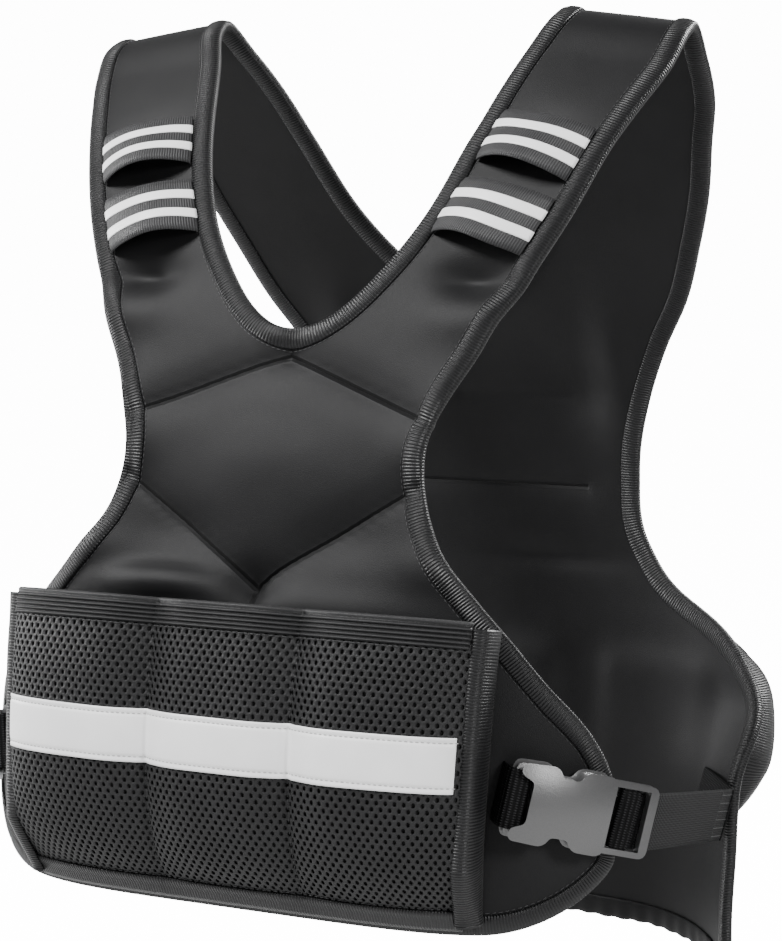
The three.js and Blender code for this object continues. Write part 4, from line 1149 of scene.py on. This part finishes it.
# Dark elastic colours, and the painted highlight on the rib tops of each.
elastic_finish = ribbed_finish(
    "elastic", (0.015, 0.015, 0.0155, 1), (0.05, 0.05, 0.052, 1), pitch=1.3, depth=0.0003, roughness=0.55
)
top_elastic_finish = ribbed_finish(
    "pocket_elastic", (0.0018, 0.0018, 0.002, 1), (0.034, 0.034, 0.035, 1),
    pitch=elastic_height / elastic_ribs, depth=0.0007, roughness=0.5, lengthwise=True,
)


def pocket_pieces(pocket):
    label = pocket.label
    dense = np.linspace(-1, 1, 221)
    knit_piece = perforated_front(pocket)
    ups = np.linspace(0.0, 1.0, 48)
    grid_across, grid_up = np.meshgrid(dense[::2], ups)
    lift = pocket.lift(grid_across, grid_up)
    backing = sheet_between(
        f"{label}_pocket_lining",
        pocket.point(grid_across, grid_up, np.maximum(pocket.seat + lining_wall, lift - mesh_thickness)),
        pocket.point(grid_across, grid_up, np.maximum(pocket.seat, lift - mesh_thickness - lining_wall)),
        lining,
    )
    walls = []
    for number, seam in enumerate(seam_shares):
        up = np.linspace(0.03, 0.985, 30)
        low = pocket.seat + 0.2
        high = pocket.lift(seam, up) - mesh_thickness - 1.2
        shares = np.linspace(0, 1, 6)[:, None]
        heights = low + (np.maximum(low + 0.5, high) - low) * shares
        outer = pocket.point(seam - 0.004, up[None, :], heights)
        inner = pocket.point(seam + 0.004, up[None, :], heights)
        walls.append(sheet_between(f"{label}_pocket_wall_{number + 1}", outer, inner, lining))
    wide = float(lengths_along(pocket.point(dense, 0.6, pocket.lift(dense, 0.6)))[-1]) / 1000
    tall = float(lengths_along(pocket.point(0.0, ups, pocket.lift(0.0, ups)))[-1]) / 1000
    min(flat_area(backing), 0.999 * wide * tall)
    declare(knit_piece, "air_mesh", f"{label}_pocket_mesh")
    for piece in (backing, *walls):
        declare(piece, "air_mesh")

    # elastic along the top, ribbed lengthwise and folded over the edge
    top_across = np.linspace(-0.985, 0.985, 260)
    elastic_share = elastic_height / pocket.height
    ring = []
    flat = []
    for share in np.linspace(0, 1, 31):
        rib = abs(math.sin(math.pi * share * elastic_ribs))
        ring.append((1 - elastic_share * (1 - share), 0.4 + 0.95 * rib))
        flat.append(elastic_height * share)
    ring += [(1.012, 0.6), (1.018, -0.6), (1.012, -2.4)]
    ring += [(1 - elastic_share, -2.7), (1 - elastic_share, -0.2)]
    flat += [11.5, 12.5, 13.5, 24, 26]
    sections = np.stack(
        [pocket.point(top_across, up, pocket.lift(top_across, up) + rise) for up, rise in ring], axis=1
    )
    uvs = flat_places(lengths_along(sections[:, 0]), flat)
    elastic = swept(f"{label}_pocket_elastic_band", sections, top_elastic_finish, uvs)
    declare(elastic, "elastic", f"{label}_pocket_elastic")

    # tape down both sides
    in_front = pocket.side > 0
    end_up = 0.0
    if in_front:
        end_up = (front_end - tape_reach - 1.5 - pocket.bottom) / (pocket.top - pocket.bottom)
    for side_name, sign in (("left", 1), ("right", -1)):
        up = np.linspace(1.0, end_up, 110)
        side = pocket.side_lift(np.clip(up, 0, 1))
        if in_front:
            side = side * np.clip(0.35 + up / 0.3, 0.35, 1)
        half = pocket.half(up) + 0.6
        run = pocket.run(up)
        ridge = side + 1.9
        seat = pocket.seat + 0 * up
        ring = [
            (-3.4, side + 1.0), (-2.6, side + 2.0), (-1.2, ridge + 0.8), (0.8, ridge + 0.9),
            (2.6, ridge + 0.2), (4.4, ridge * 0.86), (6.2, ridge * 0.62 + 1), (7.6, ridge * 0.3 + 1.5),
            (8.0, seat + 1.2), (7.8, seat + 0.1), (2.5, seat + 0.1), (0.2, side * 0.6), (-3.0, side - 0.2),
        ]
        sections = np.stack([on_cloth(sign * (half + out), run, height) for out, height in ring], axis=1)
        uvs = flat_places(lengths_along(sections[:, 3]), np.linspace(0, 14, len(ring)))
        tape = swept(f"{label}_pocket_tape_{side_name}", sections, tape_finish, uvs)
        declare(tape, "edge_tape", f"{label}_pocket_side_binding_{side_name}")

    # tape over the bottom
    low_across = np.linspace(-1, 1, 240)
    tape_up = bottom_tape_width / pocket.height
    below = (-5.5 if in_front else -2.2) / pocket.height
    low_seat = pocket_hang_seat if in_front else pocket.seat + 0.1
    base, low, high, top = (pocket.lift(low_across, share * tape_up) for share in (0, 0.2, 0.6, 1))
    ring = [
        (tape_up, top + 0.3), (tape_up * 0.97, top + 1.3), (tape_up * 0.6, high + 2.0),
        (tape_up * 0.2, low + 2.1), (below * 0.5, base + 1.4), (below, base * 0.6),
        (below, low_seat + 0.3 + 0 * base), (below * 0.2, low_seat + 0 * base),
        (0.0, base - 0.6), (tape_up * 0.9, top - 0.4),
    ]
    sections = np.stack([pocket.point(low_across, up, height) for up, height in ring], axis=1)
    uvs = flat_places(lengths_along(sections[:, 2]), np.linspace(0, 14, len(ring)))
    tape = swept(f"{label}_pocket_tape_bottom", sections, tape_finish, uvs)
    declare(tape, "edge_tape", f"{label}_pocket_bottom_binding")

    # stitches down the seams between the pockets, below the elastic and above the bottom tape
    seam_paths = []
    for seam in seam_shares:
        up = np.linspace(0.06, 0.92, 60)
        seam_paths.append((pocket.point(seam, up, pocket.lift(seam, up) + 0.25), False))
    across = np.linspace(-0.97, 0.97, 160)
    below_elastic = 1 - (elastic_height + stitches_from_tape) / pocket.height
    above_tape = (bottom_tape_width + stitches_from_tape) / pocket.height
    for up in (below_elastic, above_tape):
        seam_paths.append((pocket.point(across, up, pocket.lift(across, up) + 0.3), False))
    stitched(f"{label}_pocket_stitches", seam_paths, dark_thread, "air_mesh")


for pocket in (front_pocket, back_pocket):
    pocket_pieces(pocket)

# The reflective tape across the front pocket: silver-white coated tape, sewn on with a row of white
# stitches near each edge and drawn in at the seams.
stitch_groove = 0.1
groove_reach = 0.03
stripe_top_up = 1 - stripe_below_top / front_pocket_height
stripe_low_up = stripe_top_up - stripe_width / front_pocket_height


def reflective_finish():
    coated = Finish("reflective_tape")
    beads = coated.noise(3500, 2)
    dull = coated.noise(40, 4)
    worn = coated.range(dull, 0.3, 0.75, 0, 1)
    colour = coated.blend_colours(worn, (0.94, 0.94, 0.94, 1), (0.86, 0.86, 0.865, 1))
    waves = coated.bump(dull, 0.0012, 0.35)
    return coated.surface(
        colour=colour, normal=coated.bump(beads, 0.0001, 0.3, waves), Roughness=0.42, Specular_IOR_Level=0.6
    )


reflective = reflective_finish()
stripe_across = np.linspace(-0.975, 0.975, 300)
near_edge = np.array([0, 0.03, 0.06, 0.08, 0.1, 0.12, 0.14, 0.18, 0.3])
stripe_rows = np.concatenate([near_edge, [0.5], 1 - near_edge[::-1]])


def stripe_height(share):
    from_edge = np.minimum(share, 1 - share)
    groove = np.exp(-(((from_edge - stitch_groove) / groove_reach) ** 2))
    return 0.85 - 0.55 * groove + 0.25 * np.sin(math.pi * share)


stripe_ring = [(share, stripe_height(share)) for share in stripe_rows]
stripe_ring += [(share, 0.2) for share in stripe_rows[::-2]]


def on_stripe(share, rise):
    up = stripe_low_up + (stripe_top_up - stripe_low_up) * share
    return front_pocket.point(stripe_across, up, front_pocket.lift(stripe_across, up) + rise)


stripe_sections = np.stack([on_stripe(share, rise) for share, rise in stripe_ring], axis=1)
stripe = swept("front_reflective_tape", stripe_sections, reflective)
declare(stripe, "reflective_tape", "front_pocket_stripe")
stitched(
    "front_reflective_stitches",
    [
        (on_stripe(share, stripe_height(share) + 0.15), False)
        for share in (stitch_groove, 1 - stitch_groove)
    ],
    white_thread, "reflective_tape", pitch=2.6, length=1.8, thickness=0.55,
)

# The back hem: a casing of the same cloth turned over an elastic, so that it stands in small gathers.
gather_pitch = 11.5


def gathers(length):
    return 0.75 * (0.5 + 0.5 * np.sin(2 * math.pi * length / gather_pitch)) + 0.3 * np.sin(length / 7.9)


hem_end = float(edge_half(back_end))
hem_x = np.linspace(-hem_end, hem_end, 200)
back_hem, back_hem_stitches = folded_tape(
    "back_hem_casing", hem_x, np.full(200, back_end), vest_cloth.data.materials[0], reach=10, wave=gathers
)
declare(back_hem, "foam_cloth", "back_hem")
stitched("back_hem_stitches", [(back_hem_stitches, False)], dark_thread, "foam_cloth")

# The shoulder loops: four bands of knitted elastic sewn down at both ends over the straps, standing off
# them in the middle, each with two narrow reflective stripes.
loop_width = 30
loop_wall = 1.5
loop_arch = 9
loop_slant = 0.16
loop_stripe_width = 5.2
loop_stripe_middles = (("a", 0.31), ("b", 0.68))


def loop_edges(sign, drop):
    centre = run_at_drop(1, drop)
    span = float(edge_half(centre) - neck_half(centre))
    share = np.linspace(0, 1, 56)
    edges = []
    for offset, rise in ((-loop_width / 2, loop_arch * 0.6), (loop_width / 2, loop_arch * 1.35)):
        run_in = centre + offset - loop_slant * span / 2
        run_out = centre + offset + loop_slant * span / 2
        start = float(neck_half(run_in)) + tape_reach + 1.2
        end = float(edge_half(run_out)) - tape_reach - 1.2
        x = start + (end - start) * share
        run = run_in + (run_out - run_in) * share
        arch = 0.8 + rise * np.sin(math.pi * share) ** 0.8 - fold_lift(sign * x, run)
        edges.append(on_cloth(sign * x, run, arch))
    return edges


def loop_band(name, edges, low, high, base, wall, material):
    """Band from one share of a loop's width to another, standing a base above its edges."""
    first, last = edges
    across = np.gradient(first + last, axis=0)
    out = unit(np.cross(last - first, across))
    out *= np.where(out[:, 1:2] > 0, -1, 1)
    shares = np.linspace(low, high, 11)
    rows = []
    flat = []
    for share in shares:
        near_edge = min(share - low, high - share) / max(1e-6, high - low)
        rise = base + wall * (1 - 0.5 * max(0, 1 - near_edge / 0.06))
        rows.append(first + (last - first) * share + out * rise)
        flat.append(share * loop_width)
    for share in shares[::-2]:
        rows.append(first + (last - first) * share + out * base)
        flat.append(share * loop_width + loop_width)
    sections = np.stack(rows, axis=1)
    return swept(name, sections, material, flat_places(lengths_along(sections[:, 4]), flat))


for side_name, sign in (("left", 1), ("right", -1)):
    for level, drop in (("upper", 70), ("lower", 105)):
        edges = loop_edges(sign, drop)
        band = loop_band(f"loop_{level}_{side_name}", edges, 0, 1, 0, loop_wall, elastic_finish)
        declare(band, "elastic", f"shoulder_loop_{level}_{side_name}")
        half = loop_stripe_width / loop_width / 2
        for letter, centre in loop_stripe_middles:
            band = loop_band(
                f"loop_reflective_{level}_{side_name}_{letter}", edges, centre - half, centre + half,
                loop_wall + 0.05, 0.45, reflective,
            )
            declare(band, "reflective_tape", f"loop_stripe_{level}_{side_name}_{letter}")

# The side buckles: side-release buckles moulded in grey plastic, fastened, one at each side. Each socket
# has a thumb notch above and below, and each plug is a frame whose prongs show in the notches.
buckle_width = 33
socket_length = 46
socket_height = 10.5
bar_height = 5
frame_length = 24
frame_height = 4.6
prong_reach = 26
bar_width = 4
slot_width = 5
notch_depth = 5
buckle_inset = 22
buckle_drop = 374
buckle_rest = 4.6
buckle_turn = math.radians(45)
buckle_tilt = math.radians(-14)
part_gap = 0.5
dome_up = 11.0
dome_along = 7.0
socket_end = socket_length / 2
tongue_base = (socket_height - frame_height) / 2
buckle_centre = on_cloth(front_half_width - buckle_inset, run_at_drop(1, buckle_drop), buckle_rest)
buckle_along = np.array([
    math.cos(buckle_turn) * math.cos(buckle_tilt),
    math.sin(buckle_turn) * math.cos(buckle_tilt),
    math.sin(buckle_tilt),
])
buckle_out = np.array([math.sin(buckle_turn), -math.cos(buckle_turn), 0])
buckle_up = np.cross(buckle_out, buckle_along)


def at_buckle(along, up, out):
    along, up, out = (np.asarray(value, float)[..., None] for value in (along, up, out))
    return buckle_centre + along * buckle_along + up * buckle_up + out * buckle_out


def rounded_outline(corners, steps=5):
    """Outline with rounded corners. A corner is x, y and how far along its sides its rounding starts."""
    outline = []
    for i, (x, y, radius) in enumerate(corners):
        here = np.array([x, y], float)
        before = np.array(corners[i - 1][:2], float) - here
        after = np.array(corners[(i + 1) % len(corners)][:2], float) - here
        start = here + before * min(0.48, radius / np.linalg.norm(before))
        end = here + after * min(0.48, radius / np.linalg.norm(after))
        for t in np.linspace(0, 1, steps):
            outline.append((1 - t) ** 2 * start + 2 * t * (1 - t) * here + t * t * end)
    return np.array(outline)


def bar_outline(start, end, half, start_radius, end_radius):
    return rounded_outline([
        (start, -half, start_radius), (end, -half, end_radius),
        (end, half, end_radius), (start, half, start_radius),
    ])


def moulded(outline, low, high, edge):
    """Closed plate with rounded edges, in the buckle's own along, up and out."""
    way = unit(np.roll(outline, -1, 0) - np.roll(outline, 1, 0))
    inward = np.stack([-way[:, 1], way[:, 0]], -1)
    turning = np.roll(outline, -1, 0) * outline[:, ::-1]
    if (turning[:, 0] - turning[:, 1]).sum() < 0:
        inward = -inward
    rings = []
    turns = np.radians([0, 25, 50, 70, 90])
    for turn, top in [(turn, False) for turn in turns] + [(turn, True) for turn in turns[::-1]]:
        eased = edge * (1 - math.cos(turn))
        flat = outline + inward * (edge * (1 - math.sin(turn)))
        level = high - eased if top else low + eased
        rings.append(np.concatenate([flat, np.full((len(flat), 1), level)], axis=1))
    return swept("moulding", rings, plastic)


def box_between(low, high):
    (x0, y0, z0), (x1, y1, z1) = low, high
    points = [(x, y, z) for z in (z0, z1) for x, y in ((x0, y0), (x1, y0), (x1, y1), (x0, y1))]
    faces = [(0, 3, 2, 1), (4, 5, 6, 7), (0, 1, 5, 4), (1, 2, 6, 5), (2, 3, 7, 6), (3, 0, 4, 7)]
    return mesh_piece("block", points, faces, plastic, smooth=False)


def combined(first, second, operation):
    change = first.modifiers.new("change", "BOOLEAN")
    change.operation = operation
    change.solver = "EXACT"
    change.object = second
    graph = bpy.context.evaluated_depsgraph_get()
    mesh = bpy.data.meshes.new_from_object(first.evaluated_get(graph))
    first.modifiers.clear()
    first.data = mesh
    bpy.data.objects.remove(second)
    return first


def set_at_buckle(piece, name, sign, node):
    """Sets a copy of a moulded piece in its place at one side."""
    mesh = piece.data.copy()
    local = np.empty(len(mesh.vertices) * 3)
    mesh.vertices.foreach_get("co", local)
    local = local.reshape(-1, 3) * 1000
    place = at_buckle(local[:, 0], local[:, 1], local[:, 2]) * (sign, 1, 1)
    mesh.vertices.foreach_set("co", (place / 1000).ravel())
    layer = mesh.uv_layers.new(name="flat")
    corners = np.empty(len(mesh.loops), int)
    mesh.loops.foreach_get("vertex_index", corners)
    layer.data.foreach_set("uv", (local[:, :2] / 1000)[corners].ravel())
    if sign < 0:
        mesh.flip_normals()
    mesh.polygons.foreach_set("use_smooth", np.full(len(mesh.polygons), True))
    mesh.set_sharp_from_angle(angle=math.radians(35))
    mesh.name = name
    declare(link_object(name, mesh), "buckle_plastic", node)


def plastic_finish():
    """Satin grey plastic, its broad faces a little domed."""
    moulding = Finish("buckle_plastic")
    grain = moulding.noise(2200, 2)
    along, up = moulding.uv("flat")
    across = moulding.maths("MULTIPLY", moulding.maths("MULTIPLY", up, up), -dome_up)
    lengthways = moulding.maths("MULTIPLY", moulding.maths("MULTIPLY", along, along), -dome_along)
    domed = moulding.bump(moulding.maths("ADD", across, lengthways), 1.0, 1.0)
    colour = moulding.blend_colours(grain, (0.05, 0.05, 0.051, 1), (0.085, 0.085, 0.086, 1))
    return moulding.surface(
        colour=colour,
        normal=moulding.bump(grain, 0.00016, 0.6, domed),
        Roughness=0.34,
        Specular_IOR_Level=0.9,
    )


plastic = plastic_finish()
half = buckle_width / 2
notch_from = -socket_end + socket_length * 0.4
notch_to = -socket_end + socket_length * 0.68
body_start = -socket_end + bar_width + slot_width
ear_start = -socket_end + 1.5
inner_half = half - 2.1
socket_corners = [
    (body_start, -inner_half + 3, 4), (ear_start, -inner_half, 1), (ear_start, -half + 0.6, 1),
    (notch_from - 2, -half, 2.5), (notch_from + 0.8, -half + notch_depth, 4),
    (notch_to - 0.8, -half + notch_depth, 4), (notch_to + 2, -half, 2.5), (socket_end, -half, 2.5),
]
socket_corners += [(x, -y, radius) for x, y, radius in socket_corners[::-1]]
socket = moulded(rounded_outline(socket_corners), 0, socket_height, 2.4)
near_bar = bar_outline(-socket_end, -socket_end + bar_width, half - 0.6, 2, 2)
socket = combined(socket, moulded(near_bar, 0.2, bar_height, 1.4), "UNION")
mouth_half = half - notch_depth + 0.8
mouth = box_between(
    (socket_end - prong_reach - 1, -mouth_half, tongue_base - part_gap),
    (socket_end + 1, mouth_half, tongue_base + frame_height + part_gap),
)
socket = combined(socket, mouth, "DIFFERENCE")
frame_start = socket_end + part_gap
frame_end = frame_start + frame_length
frame_half = half - 0.5
frame_bar = 2.6
strap_up = 6.6
strap_down = 15.6
slot_half = 14.5
frame_outline = bar_outline(frame_start, frame_end, frame_half, 1, 3)
plug = moulded(frame_outline, tongue_base, tongue_base + frame_height, 1.3)
opening = box_between(
    (frame_start + frame_bar, -slot_half, tongue_base - 1),
    (frame_end - frame_bar - 0.4, slot_half, tongue_base + 9),
)
plug = combined(plug, opening, "DIFFERENCE")
strap_bar = bar_outline(
    frame_start + strap_up + 2.4, frame_start + strap_down - 2.4, slot_half + 0.8, 1, 1
)
plug = combined(plug, moulded(strap_bar, tongue_base + 0.3, tongue_base + 3, 0.9), "UNION")
tip = socket_end - prong_reach
prong_out = half - 5
notch_middle = (notch_from + notch_to) / 2
for sign in (1, -1):
    corners = [
        (frame_start + 2, prong_out - 5, 1), (tip, prong_out - 6, 2), (tip, prong_out - 0.6, 2),
        (notch_middle - 3.5, prong_out - 0.2, 1.5), (notch_middle - 1.5, prong_out + 1.6, 2),
        (notch_middle + 1.5, prong_out + 1.6, 2), (notch_middle + 4, prong_out, 1.5),
        (frame_start + 2, prong_out, 1),
    ]
    prong = moulded(
        rounded_outline([(x, sign * y, radius) for x, y, radius in corners]),
        tongue_base + 0.2, tongue_base + frame_height - 0.2, 1.2,
    )
    plug = combined(plug, prong, "UNION")
for side_name, sign in (("left", 1), ("right", -1)):
    set_at_buckle(socket, f"socket_{side_name}", sign, f"buckle_socket_{side_name}")
    set_at_buckle(plug, f"plug_{side_name}", sign, f"buckle_plug_{side_name}")
bpy.data.objects.remove(socket)
bpy.data.objects.remove(plug)

# The webbing: woven straps 28 mm wide. A short one runs from each side of the front pocket over the bar of
# the socket, and one from each back wing goes round the plug's bar and is folded over and sewn at the wing.
webbing_width = 28
webbing_wall = 1.6
wing_drop = 421


def woven_finish():
    woven = Finish("webbing")
    length, width = woven.uv("flat")
    rib = woven.ribs(length, 2.6)
    yarn = woven.ribs(width, 1.2)
    yarn_crossings = woven.maths("MULTIPLY", rib, yarn)
    fuzz = woven.noise(1300, 2)
    height = woven.maths("ADD", woven.maths("MULTIPLY", yarn_crossings, 0.8), woven.maths("MULTIPLY", rib, 0.7))
    # Painted highlight: the tops of the yarn crossings are painted pale, varied in random patches.
    share = woven.maths("MULTIPLY", woven.maths("POWER", yarn_crossings, 1.6), woven.range(fuzz, 0.3, 0.7, 0.5, 1))
    return woven.surface(
        colour=woven.blend_colours(share, (0.0018, 0.0018, 0.002, 1), (0.04, 0.04, 0.042, 1)),
        normal=woven.bump(height, 0.0005, 0.9),
        Roughness=0.7,
        Sheen_Weight=0.0,
        Specular_IOR_Level=0.1,
    )


webbing = woven_finish()


def soft_path(points, times=3):
    points = np.asarray(points, float)
    for _ in range(times):
        near, far = points[:-1], points[1:]
        cut = np.stack([0.75 * near + 0.25 * far, 0.25 * near + 0.75 * far], 1).reshape(-1, 3)
        points = np.concatenate([points[:1], cut, points[-1:]])
    return points


def webbing_ways(points, across):
    way = unit(np.gradient(points, axis=0))
    return unit(np.cross(way, across))


def strap(name, sign, points, across, node):
    points = soft_path(points)
    out = webbing_ways(points, across)
    rows = []
    flat = []
    for face in (1, -1):
        for share in face * np.linspace(-1, 1, 15):
            lift = face * webbing_wall / 2 * (1 - 0.45 * abs(share) ** 12)
            rows.append(points + across * (share * webbing_width / 2) + out * lift)
            flat.append(share * webbing_width / 2 + 40)
    sections = np.stack(rows, axis=1) * (sign, 1, 1)
    declare(swept(name, sections, webbing, flat_places(lengths_along(points), flat)), "webbing", node)


slant_end = webbing_width / 2 * math.sin(-buckle_tilt)
sewn_x = float(front_pocket.half(0.5)) + side_tape_width + 1 + slant_end
sewn_run = run_at_drop(1, buckle_drop - socket_length / 2 * math.sin(-buckle_tilt))
bar_top = bar_height + part_gap + webbing_wall / 2
slot_x = -socket_end + bar_width + slot_width / 2
front_strap = [
    on_cloth(sewn_x, sewn_run, 0.6), at_buckle(-socket_end - 3.4, 0, 1.6),
    at_buckle(-socket_end - 0.8, 0, bar_top), at_buckle(slot_x - 1, 0, bar_top),
    at_buckle(slot_x, 0, bar_top - 1.6), at_buckle(slot_x, 0, -0.4),
]
near_slot = frame_start + strap_up
far_slot = frame_start + strap_down
over = tongue_base + 3 + webbing_wall / 2 + part_gap
under = tongue_base - webbing_wall / 2 - part_gap
wing_run = run_at_drop(-1, wing_drop)
wing_edge = float(edge_half(wing_run))
wing_seat = -7.6
reach_out = at_buckle(frame_end + 4, 0, under)
back_across = unit(np.cross(on_cloth(wing_edge, wing_run, 0) - reach_out, buckle_out))
back_across = back_across * np.sign(back_across[2])
back_strap = [
    at_buckle(near_slot - 0.4, 0, under + 1.6), at_buckle(near_slot, 0, over - 1.2),
    at_buckle(near_slot + 1.2, 0, over), at_buckle(far_slot - 1.2, 0, over),
    at_buckle(far_slot, 0, over - 1.2), at_buckle(far_slot, 0, under + 1.2),
    at_buckle(far_slot + 1.4, 0, under - 0.2), at_buckle(frame_end, 0, under - 0.4), reach_out,
    on_cloth(wing_edge + 7, wing_run, wing_seat - 1), on_cloth(wing_edge + 8, wing_run, wing_seat - 0.4),
    on_cloth(wing_edge + 7, wing_run, wing_seat), on_cloth(wing_edge - 26, wing_run, wing_seat),
]
for side_name, sign in (("left", 1), ("right", -1)):
    strap(f"strap_front_{side_name}", sign, front_strap, buckle_up, f"webbing_front_{side_name}")
    strap(f"strap_back_{side_name}", sign, back_strap, back_across, f"webbing_back_{side_name}")
strap_line = soft_path(back_strap)
strap_out = webbing_ways(strap_line, back_across)
strap_length = lengths_along(strap_line)
fold_length = strap_length[np.argmin(np.linalg.norm(strap_line - back_strap[9], axis=1))]
sewn_rows = (25, 2.5)


def on_strap(length, share):
    """Places on the seen face of the back strap."""
    length, share = np.broadcast_arrays(np.asarray(length, float), np.asarray(share, float))
    middle = np.stack([np.interp(length, strap_length, strap_line[:, axis]) for axis in range(3)], -1)
    out = np.stack([np.interp(length, strap_length, strap_out[:, axis]) for axis in range(3)], -1)
    return middle + back_across * (share * webbing_width / 2)[..., None] + out * (webbing_wall / 2 + 0.1)


strap_stitches = [
    on_strap(fold_length - np.linspace(*sewn_rows, 30), share)
    for share in (-0.8, -0.48, -0.16, 0.16, 0.48, 0.8)
]
strap_stitches += [on_strap(fold_length - back, np.linspace(-0.85, 0.85, 16)) for back in sewn_rows]
for side_name, sign in (("left", 1), ("right", -1)):
    paths = [(points * (sign, 1, 1), False) for points in strap_stitches]
    stitched(f"strap_stitches_{side_name}", paths, dark_thread, "webbing", pitch=2.2, length=1.5)
